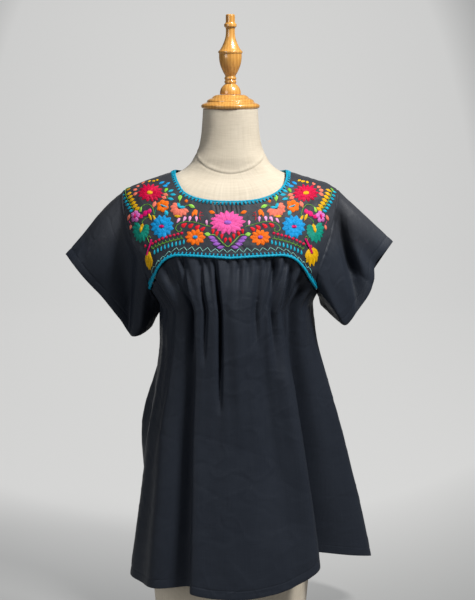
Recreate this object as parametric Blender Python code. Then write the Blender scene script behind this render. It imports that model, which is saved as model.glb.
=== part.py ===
"""A short-sleeved huipil blouse of black cotton, worn on a limbless dress form with a turned wood neck finial.

Metres, +Z up. The blouse faces -Y and +X is on the viewer's right. The form stands on z = 0, and the origin is
the middle of its flat underside. Every cloth piece lies on one closed figure, given by rings at heights z, and an
angle theta runs round it: 0 at the centre front, 90 at the +X side, 180 at the centre back.
"""

import math

import bpy
import numpy as np

# ---------------------------------------------------------------- driving sizes
CLOTH = 0.0016  # thickness of every cloth wall
SEAM = 0.0009  # gap between two pieces of cloth where they are sewn together
SLEEVE_GAP = 0.0027  # the same at the armhole, from one cloth's middle to the other's
SQUARE = 0.06  # how much fuller than an ellipse the figure's rings are
TRIM_RADIUS = 0.0019  # corded edging at the neck and under the front yoke
TRIM_GAP = 0.0008
WOOD_GAP = 0.0004

# Half widths and depths of the cloth figure.
FIGURE = {
    #  z       left    right   front   back
    "rows": (
        (0.8060, 0.0850, 0.0850, 0.0520, 0.0580),
        (0.7950, 0.1010, 0.1020, 0.0600, 0.0640),
        (0.7840, 0.1370, 0.1420, 0.0690, 0.0740),
        (0.7735, 0.1650, 0.1720, 0.0790, 0.0840),
        (0.7620, 0.1880, 0.1890, 0.0880, 0.0920),
        (0.7430, 0.1970, 0.1960, 0.0980, 0.1000),
        (0.7150, 0.2000, 0.1980, 0.1100, 0.1060),
        (0.6800, 0.1980, 0.1970, 0.1210, 0.1090),
        (0.6400, 0.1840, 0.1870, 0.1310, 0.1090),
        (0.6000, 0.1560, 0.1660, 0.1380, 0.1080),
        (0.5600, 0.1280, 0.1470, 0.1400, 0.1070),
        (0.5000, 0.1270, 0.1480, 0.1410, 0.1100),
        (0.4250, 0.1350, 0.1580, 0.1440, 0.1180),
        (0.3350, 0.1500, 0.1720, 0.1520, 0.1300),
        (0.2400, 0.1590, 0.1850, 0.1650, 0.1430),
        (0.1500, 0.1690, 0.1960, 0.1780, 0.1550),
        (0.0500, 0.1790, 0.2060, 0.1900, 0.1660),
    ),
}

# The dress form inside, on the same plan.
FORM = {
    #  z       left    right   front   back
    "rows": (
        (0.9040, 0.0480, 0.0480, 0.0480, 0.0480),
        (0.8800, 0.0495, 0.0495, 0.0490, 0.0490),
        (0.8550, 0.0520, 0.0520, 0.0500, 0.0510),
        (0.8350, 0.0565, 0.0565, 0.0520, 0.0540),
        (0.8200, 0.0640, 0.0640, 0.0540, 0.0560),
        (0.8080, 0.0718, 0.0718, 0.0546, 0.0560),
        (0.7950, 0.0895, 0.0895, 0.0563, 0.0583),
        (0.7860, 0.1130, 0.1130, 0.0602, 0.0622),
        (0.7760, 0.1450, 0.1450, 0.0670, 0.0695),
        (0.7640, 0.1660, 0.1660, 0.0750, 0.0770),
        (0.7500, 0.1750, 0.1750, 0.0820, 0.0840),
        (0.7300, 0.1790, 0.1790, 0.0925, 0.0905),
        (0.6900, 0.1740, 0.1740, 0.1040, 0.0940),
        (0.6400, 0.1560, 0.1560, 0.1160, 0.0940),
        (0.5900, 0.1320, 0.1320, 0.1210, 0.0900),
        (0.5450, 0.1160, 0.1160, 0.1190, 0.0860),
        (0.4900, 0.1080, 0.1080, 0.1040, 0.0800),
        (0.4250, 0.1040, 0.1040, 0.0900, 0.0770),
        (0.3600, 0.1180, 0.1180, 0.0920, 0.0880),
        (0.2800, 0.1390, 0.1390, 0.1010, 0.1040),
        (0.2000, 0.1500, 0.1500, 0.1060, 0.1110),
        (0.1000, 0.1480, 0.1480, 0.1040, 0.1080),
        (0.0000, 0.1400, 0.1400, 0.0980, 0.1000),
    ),
}

# Neck opening, seen from the front: half width, heights at the centre front, the sides and the centre back.
NECK_HALF = 0.1005
NECK_FRONT_Z = 0.7485
NECK_SIDE_Z = 0.7950
NECK_BACK_Z = 0.7880
NECK_ROUND = 1.25  # above 1, the front of the opening is flatter than a circle

# Columns of the yoke's grid along its front edge, front armhole, back armhole and back edge, each from centre to side.
YOKE_COLUMNS = (16, 8, 6, 7)

# The yoke's lower edge and its armhole edge, as (x, z) seen from the front. +X half; the other mirrors it.
FRONT_EDGE = ((0, 0.6580), (0.045, 0.6605), (0.085, 0.6617), (0.108, 0.6555), (0.125, 0.6385), (0.136, 0.6190), (0.149, 0.5980))
FRONT_ARMHOLE = ((0.149, 0.5980), (0.1500, 0.6260), (0.1590, 0.6520), (0.1700, 0.6800), (0.1790, 0.7150), (0.1860, 0.7470), (0.1880, 0.7620))
BACK_ARMHOLE = ((0.1880, 0.7620), (0.1880, 0.7400), (0.1840, 0.7100), (0.1770, 0.6750), (0.1670, 0.6480))
BACK_EDGE = ((0.1670, 0.6480), (0.120, 0.6440), (0.060, 0.6420), (0, 0.6415))
UNDERARM_Z = {"left": 0.5480, "right": 0.5820}

# Height of the blouse's lower edge round the body: (theta, z).
HEM = (
    (-180, 0.0800), (-120, 0.0840), (-90, 0.0860), (-75, 0.0780), (-60, 0.0750), (-45, 0.0800), (-25, 0.0830), (-10, 0.0760),
    (5, 0.0740), (18, 0.0790), (28, 0.0860), (36, 0.0980), (44, 0.1160), (54, 0.1220), (64, 0.1180), (74, 0.1060),
    (84, 0.0940), (94, 0.0840), (120, 0.0860), (150, 0.0820), (180, 0.0800),
)

# Large folds of the body. Angles and widths in degrees; a minus depth is a valley. skew narrows the +theta flank.
FOLDS = {
    #  theta_top, theta_low, z_top,  z_low, width_top, width_low, depth_top, depth_mid, depth_low, skew
    "rows": (
        (-32.0, -26.0, 0.660, 0.020, 5.5, 11.5, -0.0040, -0.0220, -0.0310, 0.22),  # long valley left of centre
        (-25.0, -20.0, 0.600, 0.020, 4.0, 7.0, 0.0000, 0.0030, 0.0050, 1.0),  # its sharp right edge
        (-50.0, -45.0, 0.640, 0.020, 6.0, 7.5, 0.0010, 0.0070, 0.0110, 1.0),  # soft ridge beside it
        (-54.0, -69.0, 0.620, 0.020, 5.5, 8.5, 0.0020, 0.0060, 0.0130, 1.0),  # left front corner of the hem
        (-7.5, -7.0, 0.668, 0.390, 1.7, 2.6, -0.0080, -0.0150, 0.0000, 0.5),  # deep narrow pleat
        (5.0, 5.0, 0.640, 0.330, 4.5, 8.0, 0.0010, 0.0060, 0.0000, 1.0),  # broad ridge at the centre
        (-14.0, -20.0, 0.668, 0.470, 1.6, 2.6, -0.0050, -0.0090, 0.0000, 0.6),  # slanting pleats
        (-23.0, -32.0, 0.664, 0.480, 1.6, 2.6, -0.0050, -0.0080, 0.0000, 0.6),
        (21.0, 31.0, 0.665, 0.450, 1.6, 2.8, -0.0060, -0.0110, 0.0000, 1.5),
        (30.0, 42.0, 0.662, 0.430, 1.6, 2.8, -0.0060, -0.0100, 0.0000, 1.5),
        (14.0, 17.5, 0.665, 0.500, 2.2, 3.0, -0.0040, -0.0090, 0.0000, 0.7),  # short pleat right of centre
        (20.0, 25.0, 0.560, 0.150, 3.2, 8.0, 0.0000, -0.0060, 0.0000, 1.0),
        (28.0, 43.5, 0.640, 0.020, 4.0, 7.5, 0.0010, 0.0120, 0.0170, 0.8),  # ridge that ends the front plane
        (44.0, 59.0, 0.640, 0.020, 5.0, 9.0, -0.0080, -0.0360, -0.0580, 0.9),  # deep recess behind that ridge
        (72.0, 81.0, 0.560, 0.020, 7.0, 10.0, 0.0000, 0.0360, 0.0640, 2.0),  # right flare
        (-86.0, -84.0, 0.450, 0.230, 5.0, 6.0, 0.0000, -0.0060, 0.0000, 1.0),
        (-104.0, -102.0, 0.450, 0.230, 7.0, 7.0, 0.0000, 0.0150, 0.0000, 1.0),  # back bulge seen past the left side
        (112.0, 116.0, 0.560, 0.020, 7.0, 9.0, 0.0000, -0.0200, -0.0300, 1.0),
        (136.0, 138.0, 0.640, 0.020, 5.0, 10.0, 0.0020, 0.0120, 0.0180, 1.0),
        (158.0, 160.0, 0.640, 0.020, 4.0, 8.0, -0.0030, -0.0110, -0.0160, 1.0),
        (-176.0, -178.0, 0.640, 0.020, 4.0, 9.0, 0.0020, 0.0090, 0.0140, 1.0),
        (-154.0, -156.0, 0.640, 0.020, 4.0, 8.0, -0.0040, -0.0120, -0.0180, 0.8),
        (-130.0, -131.0, 0.620, 0.020, 5.0, 9.0, 0.0020, 0.0110, 0.0150, 1.0),
    ),
}

# Gathers: small valleys that start at the yoke seam. Angle, width (degrees), depth and length (metres).
GATHERS = {
    #  theta, width, depth, length
    "rows": (
        (-55.0, 1.9, 0.0060, 0.060),
        (-47.0, 1.8, 0.0070, 0.085),
        (-35.5, 1.8, 0.0075, 0.055),
        (-29.5, 1.6, 0.0075, 0.110),
        (-23.5, 1.5, 0.0070, 0.050),
        (-12.0, 1.5, 0.0075, 0.070),
        (-0.5, 1.3, 0.0055, 0.040),
        (4.5, 1.4, 0.0080, 0.075),
        (9.5, 1.3, 0.0070, 0.050),
        (18.5, 1.4, 0.0070, 0.090),
        (23.0, 1.4, 0.0075, 0.110),
        (28.5, 1.5, 0.0080, 0.120),
        (34.0, 1.5, 0.0075, 0.150),
        (40.5, 1.6, 0.0070, 0.130),
        (48.0, 1.8, 0.0070, 0.110),
        (56.0, 2.0, 0.0060, 0.080),
        (130.0, 2.4, 0.0070, 0.070),
        (141.0, 2.2, 0.0075, 0.110),
        (150.0, 2.2, 0.0070, 0.080),
        (165.0, 2.2, 0.0075, 0.120),
        (173.0, 2.0, 0.0070, 0.070),
        (-168.0, 2.2, 0.0075, 0.090),
        (-160.0, 2.2, 0.0070, 0.130),
        (-146.0, 2.2, 0.0075, 0.080),
        (-137.0, 2.2, 0.0070, 0.100),
    ),
}

# The sleeve's cuff, a flattened loop, from the top corner down the front, round the lower corner and up the back.
# share is where the point falls on the armhole's own loop, from 0 at the shoulder to 0.5 under the arm.
CUFFS = {
    #  share, x, y, z
    "left": (
        (0.00, -0.2945, 0.0020, 0.6480),
        (0.07, -0.2790, -0.0190, 0.6330),
        (0.14, -0.2560, -0.0280, 0.6060),
        (0.22, -0.2270, -0.0330, 0.5750),
        (0.31, -0.1980, -0.0420, 0.5370),
        (0.38, -0.1750, -0.0500, 0.5080),
        (0.43, -0.1580, -0.0400, 0.5100),
        (0.50, -0.1400, -0.0030, 0.5190),
        (0.57, -0.1560, 0.0300, 0.5170),
        (0.66, -0.1920, 0.0370, 0.5340),
        (0.78, -0.2330, 0.0350, 0.5800),
        (0.90, -0.2740, 0.0240, 0.6250),
    ),
    "right": (
        (0.00, 0.2900, 0.0060, 0.6700),
        (0.07, 0.2740, -0.0100, 0.6530),
        (0.14, 0.2560, -0.0160, 0.6300),
        (0.22, 0.2530, -0.0280, 0.6010),
        (0.30, 0.2350, -0.0440, 0.5650),
        (0.38, 0.2010, -0.0560, 0.5300),
        (0.43, 0.1880, -0.0440, 0.5360),
        (0.50, 0.1620, 0.0020, 0.5560),
        (0.57, 0.1840, 0.0360, 0.5420),
        (0.66, 0.2160, 0.0400, 0.5580),
        (0.78, 0.2500, 0.0410, 0.6000),
        (0.90, 0.2770, 0.0290, 0.6440),
    ),
}

# Dents and swells of the sleeves: place on the loop at the armhole and at the cuff, the level between them (0 to 1),
# the widths of both, the move, and how much wider the flank on the greater share is.
SLEEVE_FOLDS = {
    #  share_top, share_low, along, share_width, along_width, dx, dy, dz, skew
    "left": (
        (0.21, 0.36, 0.52, 0.085, 0.55, 0.0020, 0.0340, 0.0000, 0.22),
        (0.05, 0.12, 0.50, 0.080, 0.40, 0.0000, -0.0050, 0.0000, 1.0),
        (0.33, 0.43, 0.55, 0.034, 0.40, 0.0000, -0.0090, 0.0000, 1.0),
        (0.00, 0.00, 0.36, 0.080, 0.30, -0.0020, 0.0000, 0.0045, 1.0),
        (0.80, 0.80, 0.45, 0.090, 0.30, 0.0040, -0.0120, 0.0000, 1.0),
    ),
    "right": (
        (0.12, 0.33, 0.45, 0.060, 0.50, -0.0040, 0.0320, 0.0000, 0.45),
        (0.03, 0.08, 0.45, 0.070, 0.40, 0.0020, -0.0040, 0.0000, 1.0),
        (0.33, 0.39, 0.60, 0.026, 0.45, 0.0000, -0.0100, 0.0000, 1.0),
        (0.80, 0.80, 0.45, 0.090, 0.30, -0.0040, -0.0120, 0.0000, 1.0),
    ),
}

# Turned profiles of the neck cap and its finial: (radius, height) up from the neck's top.
CAP_PROFILE = (
    (0.0480, 0.0000), (0.0510, 0.0025), (0.0515, 0.0055), (0.0490, 0.0085), (0.0430, 0.0112), (0.0412, 0.0125),
    (0.0408, 0.0145), (0.0370, 0.0172), (0.0325, 0.0192), (0.0312, 0.0205), (0.0285, 0.0228), (0.0240, 0.0245),
)
FINIAL_PROFILE = (
    (0.0185, 0.0000), (0.0180, 0.0060), (0.0155, 0.0120), (0.0115, 0.0165), (0.0092, 0.0185), (0.0104, 0.0205),
    (0.0104, 0.0230), (0.0090, 0.0245), (0.0104, 0.0265), (0.0104, 0.0290), (0.0090, 0.0305), (0.0130, 0.0390),
    (0.0175, 0.0500), (0.0198, 0.0620), (0.0200, 0.0700), (0.0212, 0.0715), (0.0212, 0.0735), (0.0180, 0.0770),
    (0.0125, 0.0870), (0.0088, 0.0980), (0.0078, 0.1110), (0.0085, 0.1140), (0.0108, 0.1165), (0.0108, 0.1200),
    (0.0085, 0.1225), (0.0080, 0.1240), (0.0080, 0.1350), (0.0068, 0.1370),
)

MATERIALS = {
    #  name: (red, green, blue), roughness
    "black_cotton": ((0.016, 0.018, 0.023), 0.75),
    "turquoise_cotton": ((0.010, 0.330, 0.480), 0.70),
    "linen": ((0.680, 0.600, 0.480), 0.80),
    "varnished_wood": ((0.600, 0.330, 0.110), 0.35),
}


# ---------------------------------------------------------------- curves and tables
def slopes(x, y):
    """Slopes of a curve through the points that never overshoots them (Fritsch and Carlson)."""
    step = np.diff(y) / np.diff(x)
    m = np.concatenate([[step[0]], (step[1:] + step[:-1]) / 2, [step[-1]]])
    for i, d in enumerate(step):
        if d == 0:
            m[i] = m[i + 1] = 0
            continue
        for j in (i, i + 1):
            m[j] = 0 if m[j] / d < 0 else min(abs(m[j]), 3 * abs(d)) * math.copysign(1, d)
    return m


def through(x, y, at):
    """A smooth curve through (x, y), x rising, read at the places in at."""
    x, y, at = np.asarray(x, float), np.asarray(y, float), np.asarray(at, float)
    m = slopes(x, y)
    i = np.clip(np.searchsorted(x, at) - 1, 0, len(x) - 2)
    h = x[i + 1] - x[i]
    t = np.clip((at - x[i]) / h, 0, 1)
    t2, t3 = t * t, t * t * t
    start = (2 * t3 - 3 * t2 + 1) * y[i] + (t3 - 2 * t2 + t) * h * m[i]
    return start + (3 * t2 - 2 * t3) * y[i + 1] + (t3 - t2) * h * m[i + 1]


def ring_sizes(body, z):
    """Left, right, front and back half sizes of a figure's rings at the heights z."""
    rows = np.array(body["rows"])[::-1]
    return [through(rows[:, 0], rows[:, k], z) for k in (1, 2, 3, 4)]


def fullness(theta):
    return 1 + SQUARE * np.sin(2 * theta) ** 2


def figure_point(body, theta, z):
    """Points of a figure's surface at angles theta (radians) and heights z, as an array of x, y, z."""
    left, right, front, back = ring_sizes(body, z)
    s, c = np.sin(theta), np.cos(theta)
    x = np.where(s > 0, right, left) * s * fullness(theta)
    y = -np.where(c > 0, front, back) * c * fullness(theta)
    return np.stack([x, y, np.broadcast_to(z, x.shape)], axis=-1)


def angle_at(body, x, z, behind=False):
    """The angle at which a figure's surface has this x at this height, on its front or its back."""
    left, right, _, _ = ring_sizes(body, z)
    share = np.clip(np.abs(x) / np.where(np.asarray(x) > 0, right, left), 0, 1)
    quarter = np.linspace(0, math.pi / 2, 400)
    theta = np.interp(share, np.sin(quarter) * fullness(quarter), quarter)
    theta = np.where(behind, math.pi - theta, theta)
    return theta * np.where(np.asarray(x) < 0, -1, 1)


def along(points, shares):
    """Points on a smooth curve through a short list, at shares of its length."""
    p = np.array(points, float)
    at = np.concatenate([[0], np.cumsum(np.linalg.norm(np.diff(p, axis=0), axis=1))])
    return np.stack([through(at, p[:, k], np.asarray(shares) * at[-1]) for k in range(p.shape[1])], axis=1)


def bell(offset, width):
    return np.exp(-((offset / width) ** 2))


# ---------------------------------------------------------------- edges that two pieces share
def armhole_outline(count_front, count_back):
    """The yoke's armhole edge from its front lower tip over the shoulder to its back corner, as theta, z."""
    front = along(FRONT_ARMHOLE, np.linspace(0, 1, count_front + 1))
    back = along(BACK_ARMHOLE, np.linspace(0, 1, count_back + 1))
    theta = np.concatenate(
        [angle_at(FIGURE, front[:-1, 0], front[:-1, 1]), angle_at(FIGURE, back[:, 0], back[:, 1], True)]
    )
    theta[count_front] = math.pi / 2
    return theta, np.concatenate([front[:-1, 1], back[:, 1]])


def yoke_edge(count, behind=False):
    """The yoke's lower edge from the centre to its tip, as theta, z. +X half."""
    edge = BACK_EDGE[::-1] if behind else FRONT_EDGE
    p = along(edge, np.linspace(0, 1, count + 1))
    return angle_at(FIGURE, p[:, 0], p[:, 1], behind), p[:, 1]


def underarm_curve(folded, low):
    """Height of the body's upper edge under one arm, between the yoke's front tip and its back corner."""
    front_theta, front_z = (v[-1] for v in yoke_edge(2))
    back_theta, back_z = (v[-1] for v in yoke_edge(2, True))
    side = math.pi / 2
    in_front = np.clip((folded - front_theta) / (side - front_theta), 0, 1)
    behind = np.clip((back_theta - folded) / (back_theta - side), 0, 1)
    z_front = front_z + (low - front_z) * np.sin(in_front * math.pi / 2)
    z_behind = back_z + (low - back_z) * np.sin(behind * math.pi / 2)
    return np.where(folded < side, z_front, z_behind)


def body_top(theta):
    """Height of the body panels' upper edge at the angles theta: the yoke's lower edge, then the underarm."""
    front_theta, front_z = yoke_edge(60)
    back_theta, back_z = yoke_edge(40, True)
    theta = (np.asarray(theta) + math.pi) % (2 * math.pi) - math.pi
    folded = np.abs(theta)
    along_yoke = np.where(
        folded < math.pi / 2, np.interp(folded, front_theta, front_z), np.interp(folded, back_theta[::-1], back_z[::-1])
    )
    low = np.where(theta < 0, UNDERARM_Z["left"], UNDERARM_Z["right"])
    under = (folded > front_theta[-1]) & (folded < back_theta[-1])
    return np.where(under, underarm_curve(folded, low), along_yoke)


# ---------------------------------------------------------------- cloth surfaces, as grids of points
def fold_depth(theta, z):
    """How far the body's large folds stand out from the figure, at angles theta and heights z."""
    depth = np.zeros(np.broadcast(theta, z).shape)
    for top, low, z_top, z_low, width_top, width_low, d_top, d_mid, d_low, skew in FOLDS["rows"]:
        t = np.clip((z_top - z) / (z_top - z_low), 0, 1)
        centre = np.radians(top + (low - top) * np.sin(t * math.pi / 2))
        width = np.radians(width_top + (width_low - width_top) * t)
        turn = (theta - centre + math.pi) % (2 * math.pi) - math.pi
        width = np.where(turn > 0, width * skew, width)
        size = d_top * (1 - t) * (1 - 2 * t) + d_mid * 4 * t * (1 - t) + d_low * t * (2 * t - 1)
        depth += size * bell(turn, width)
    return depth


def gather_depth(theta, below):
    """How far the gathers sink in at angles theta, at distances below the seam that holds them."""
    depth = np.zeros(np.broadcast(theta, below).shape)
    for centre, width, deep, length in GATHERS["rows"]:
        turn = (theta - math.radians(centre) + math.pi) % (2 * math.pi) - math.pi
        spread = math.radians(width) * (1 + 0.8 * np.clip(below / length, 0, 2))
        grow = 0.35 + 0.65 * np.clip(below / 0.018, 0, 1)
        depth -= deep * grow * np.exp(-((below / length) ** 2)) * bell(turn, spread)
    return depth


def columns_between(start, end, widest):
    """Angles (degrees) of a panel's columns: one in each gather's valley, one between, and no gap above widest."""
    valleys = sorted(row[0] % 360 if end > 180 else row[0] for row in GATHERS["rows"])
    valleys = [v for v in valleys if start + 1 < v < end - 1]
    marks = [start, *valleys, *((a + b) / 2 for a, b in zip(valleys, valleys[1:])), end]
    marks.sort()
    columns = [start]
    for a, b in zip(marks, marks[1:]):
        parts = max(1, math.ceil((b - a) / widest))
        columns += [a + (b - a) * k / parts for k in range(1, parts + 1)]
    return np.array(columns)


def out_of_yoke(theta, below):
    """0 at the armhole's edge, 1 well below it, so that folds die out at the sleeve; 1 under the yoke."""
    folded = np.abs((theta + math.pi) % (2 * math.pi) - math.pi)
    tip, corner = yoke_edge(2)[0][-1], yoke_edge(2, True)[0][-1]
    inside = np.clip(np.minimum(folded - tip, corner - folded) / math.radians(4) + 0.5, 0, 1)
    rise = np.clip(below / 0.025, 0, 1)
    return 1 - inside * (1 - rise * rise * (3 - 2 * rise))


def body_grid(columns, rows):
    """The body cloth from the yoke to the hem at the columns' angles (degrees). Rows are closer near the gathers."""
    theta = np.radians(columns)[:, None]
    rise = (body_top(theta + 0.01) - body_top(theta - 0.01)) / (0.02 * 0.14)
    top = body_top(theta) - SEAM * np.sqrt(1 + np.minimum(rise**2, 9))
    hem_at, hem_z = np.array(HEM, float).T
    hem = through(hem_at, hem_z, (np.degrees(theta) + 180) % 360 - 180)
    share = np.linspace(0, 1, rows + 1)[None, :] ** 1.5
    z = top + (hem - top) * share
    below = top - z
    base = figure_point(FIGURE, theta + 0 * z, z)
    ahead = figure_point(FIGURE, theta + 0.01 + 0 * z, z) - figure_point(FIGURE, theta - 0.01 + 0 * z, z)
    out = np.stack([ahead[..., 1], -ahead[..., 0], 0 * z], axis=-1)
    out /= np.linalg.norm(out, axis=-1, keepdims=True)
    swell = fold_depth(theta, z)
    swell = np.where(swell > 0, swell * np.clip(below / 0.02, 0, 1), swell)
    depth = (swell + gather_depth(theta, below)) * out_of_yoke(theta, below)
    return base + out * depth[..., None]


def neck_outline(alpha):
    """The neck opening as theta, z at the angles alpha round it."""
    x = NECK_HALF * np.abs(np.sin(alpha))
    in_front = np.cos(alpha) >= 0
    rise = (1 - np.abs(np.cos(alpha))) ** NECK_ROUND
    z = np.where(in_front, NECK_FRONT_Z, NECK_BACK_Z)
    z = z + (NECK_SIDE_Z - z) * rise
    theta = angle_at(FIGURE, x, z, ~in_front)
    theta = np.where(np.abs(np.cos(alpha)) < 1e-6, math.pi / 2, theta)
    return theta * np.where(np.sin(alpha) < 0, -1, 1), z


def yoke_outline(per_edge):
    """The yoke's outer edge round the +X half as theta, z, and the alpha of each of its points on the neck."""
    front, armhole_front, armhole_back, back = per_edge
    front_theta, front_z = yoke_edge(front)
    side_theta, side_z = armhole_outline(armhole_front, armhole_back)
    back_theta, back_z = yoke_edge(back, True)
    theta = np.concatenate([front_theta, side_theta[1:], back_theta[::-1][1:]])
    z = np.concatenate([front_z, side_z[1:], back_z[::-1][1:]])
    alpha = np.concatenate(
        [
            np.linspace(0, 48, front + 1),
            np.linspace(48, 90, armhole_front + 1)[1:],
            np.linspace(90, 128, armhole_back + 1)[1:],
            np.linspace(128, 180, back + 1)[1:],
        ]
    )
    return theta, z, np.radians(alpha)


def yoke_grid(per_edge, rows):
    """The whole yoke, a ring of cloth from the neck opening to its outer edge."""
    theta, z, alpha = yoke_outline(per_edge)
    theta = np.concatenate([theta, -theta[1:-1][::-1]])
    z = np.concatenate([z, z[1:-1][::-1]])
    alpha = np.concatenate([alpha, -alpha[1:-1][::-1]])
    neck_theta, neck_z = neck_outline(alpha)
    share = np.linspace(0, 1, rows + 1)[None, :]
    turn = neck_theta[:, None] + (theta - neck_theta)[:, None] * share
    height = neck_z[:, None] + (z - neck_z)[:, None] * share
    return figure_point(FIGURE, turn, height)


def armhole_loop(name, count):
    """The loop that a sleeve is sewn to, as count points from the shoulder, down the front and up the back."""
    side = -1 if name == "left" else 1
    theta, z = armhole_outline(40, 30)
    front_theta, front_z = theta[:41][::-1], z[:41][::-1]
    back_theta, back_z = theta[40:], z[40:]
    under = np.linspace(front_theta[-1], back_theta[-1], 60)
    turn = np.concatenate([front_theta, under[1:-1], back_theta[::-1]])
    height = np.concatenate([front_z, underarm_curve(under[1:-1], UNDERARM_Z[name]), back_z[::-1]])
    p = figure_point(FIGURE, turn * side, height)
    length = np.concatenate([[0], np.cumsum(np.linalg.norm(np.diff(p, axis=0), axis=1))])
    low = length[np.argmin(p[:, 2])]
    # Half of the points are on the front and half on the back, so that share 0.5 is under the arm.
    share = np.arange(count) / count
    at = np.where(share < 0.5, share * 2 * low, low + (share - 0.5) * 2 * (length[-1] - low))
    return np.stack([np.interp(at, length, p[:, k]) for k in range(3)], axis=1), share


def sleeve_grid(name, count, rows):
    """A sleeve from the armhole to the cuff."""
    arm, share = armhole_loop(name, count)
    cuff = np.array(CUFFS[name] + ((1.0, *CUFFS[name][0][1:]),))
    end = np.stack([through(cuff[:, 0], cuff[:, k], share) for k in (1, 2, 3)], axis=1)
    way = (end - arm) / np.linalg.norm(end - arm, axis=1, keepdims=True)
    sideways = bell(share - 0.5, 0.10)[:, None]
    begin = arm + SLEEVE_GAP * (way * (1 - sideways) + np.array([math.copysign(1, arm[0, 0]), 0, 0]) * sideways)
    t = np.linspace(0, 1, rows + 1)
    grid = begin[:, None] + (end - begin)[:, None] * t[None, :, None]
    for top, low, level, place_width, level_width, dx, dy, dz, skew in SLEEVE_FOLDS[name]:
        turn = (share[:, None] - top - (low - top) * t[None, :] + 0.5) % 1 - 0.5
        width = np.where(turn > 0, place_width * skew, place_width)
        size = bell(turn, width) * bell(t - level, level_width)[None, :] * np.minimum(1, t / 0.12)[None, :]
        grid += size[..., None] * np.array([dx, dy, dz])
    return grid


# ---------------------------------------------------------------- meshes
def material(name):
    found = bpy.data.materials.get(name)
    if found:
        return found
    colour, roughness = MATERIALS[name]
    made = bpy.data.materials.new(name)
    made.use_nodes = True
    shader = made.node_tree.nodes["Principled BSDF"]
    shader.inputs["Base Color"].default_value = (*colour, 1)
    shader.inputs["Roughness"].default_value = roughness
    return made


def add_object(name, points, faces, look):
    mesh = bpy.data.meshes.new(name)
    mesh.from_pydata([tuple(map(float, p)) for p in points], [], faces)
    mesh.validate()
    made = bpy.data.objects.new(name, mesh)
    bpy.context.scene.collection.objects.link(made)
    mesh.materials.append(material(look))
    mesh.shade_smooth()
    return made


def grid_faces(columns, rows, closed, flip=False):
    """Quads of a grid of (columns, rows) points; closed joins the last column to the first."""
    faces = []
    for i in range(columns if closed else columns - 1):
        j = (i + 1) % columns
        for k in range(rows - 1):
            face = (i * rows + k, j * rows + k, j * rows + k + 1, i * rows + k + 1)
            faces.append(face[::-1] if flip else face)
    return faces


def add_cloth(name, grid, closed, flip=False):
    """A wall of cloth on a grid of points, with half of its thickness on each side."""
    columns, rows = grid.shape[:2]
    made = add_object(name, grid.reshape(-1, 3), grid_faces(columns, rows, closed, flip), "black_cotton")
    wall = made.modifiers.new("wall", "SOLIDIFY")
    wall.thickness = CLOTH
    wall.offset = 0
    return made


def add_cord(name, line, closed, radius, look):
    """A cord of edging: a curve along a line, with a round section."""
    curve = bpy.data.curves.new(name, "CURVE")
    curve.dimensions = "3D"
    spline = curve.splines.new("POLY")
    spline.points.add(len(line) - 1)
    spline.points.foreach_set("co", np.hstack([line, np.ones((len(line), 1))]).astype(np.float32).ravel())
    spline.use_cyclic_u = closed
    curve.bevel_depth = radius
    curve.bevel_resolution = 1
    curve.use_fill_caps = not closed
    curve.materials.append(material(look))
    made = bpy.data.objects.new(name, curve)
    bpy.context.scene.collection.objects.link(made)
    return made


def add_figure(name, body, sides, heights, look):
    """A closed figure with flat ends."""
    theta = np.linspace(-math.pi, math.pi, sides, endpoint=False)[:, None]
    z = np.asarray(heights)[None, :]
    grid = figure_point(body, theta + 0 * z, z + 0 * theta)
    rows = len(heights)
    faces = grid_faces(sides, rows, True, flip=True)
    faces.append([i * rows for i in range(sides)])
    faces.append([i * rows + rows - 1 for i in range(sides)][::-1])
    return add_object(name, grid.reshape(-1, 3), faces, look)


def add_turned(name, profile, bottom, sides, look):
    """A solid turned about the form's axis from (radius, height) pairs."""
    turn = np.linspace(0, 2 * math.pi, sides, endpoint=False)[:, None]
    radius, height = np.array(profile).T
    grid = np.stack([np.cos(turn) * radius, np.sin(turn) * radius, bottom + height + 0 * turn], axis=-1)
    rows = len(profile)
    faces = grid_faces(sides, rows, True)
    faces.append([i * rows for i in range(sides)][::-1])
    faces.append([i * rows + rows - 1 for i in range(sides)])
    return add_object(name, grid.reshape(-1, 3), faces, look)


# ---------------------------------------------------------------- the pieces
def build_yoke():
    add_cloth("yoke", yoke_grid(YOKE_COLUMNS, 4), closed=True)


def build_body():
    add_cloth("body_front", body_grid(columns_between(-89.85, 89.85, 3.2), 13), closed=False)
    add_cloth("body_back", body_grid(columns_between(90.15, 269.85, 4.2), 10), closed=False)


def build_sleeves():
    add_cloth("sleeve_left", sleeve_grid("left", 32, 6), closed=True, flip=True)
    add_cloth("sleeve_right", sleeve_grid("right", 32, 6), closed=True)


def build_trims():
    """The neck's edging lies beyond the yoke's raw edge, and the yoke's lies on the seam below the front yoke."""
    grid = yoke_grid(YOKE_COLUMNS, 4)
    away = grid[:, 0] - grid[:, 1]
    away /= np.linalg.norm(away, axis=1, keepdims=True)
    add_cord("neck_trim", grid[:, 0] + away * (TRIM_RADIUS + TRIM_GAP), True, TRIM_RADIUS, "turquoise_cotton")

    tip = YOKE_COLUMNS[0]
    lower = np.concatenate([grid[-tip:], grid[: tip + 1]])
    turned = np.gradient(lower[:, -1], axis=0)
    out = np.cross(turned, lower[:, -2] - lower[:, -1])
    out /= np.linalg.norm(out, axis=1, keepdims=True)
    line = lower[:, -1] + out * (CLOTH / 2 + TRIM_RADIUS + 2 * TRIM_GAP)
    for end, inner in ((0, 1), (-1, -2)):
        line[end] += (line[inner] - line[end]) * 0.35
    add_cord("yoke_trim", line, False, TRIM_RADIUS, "turquoise_cotton")


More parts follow.
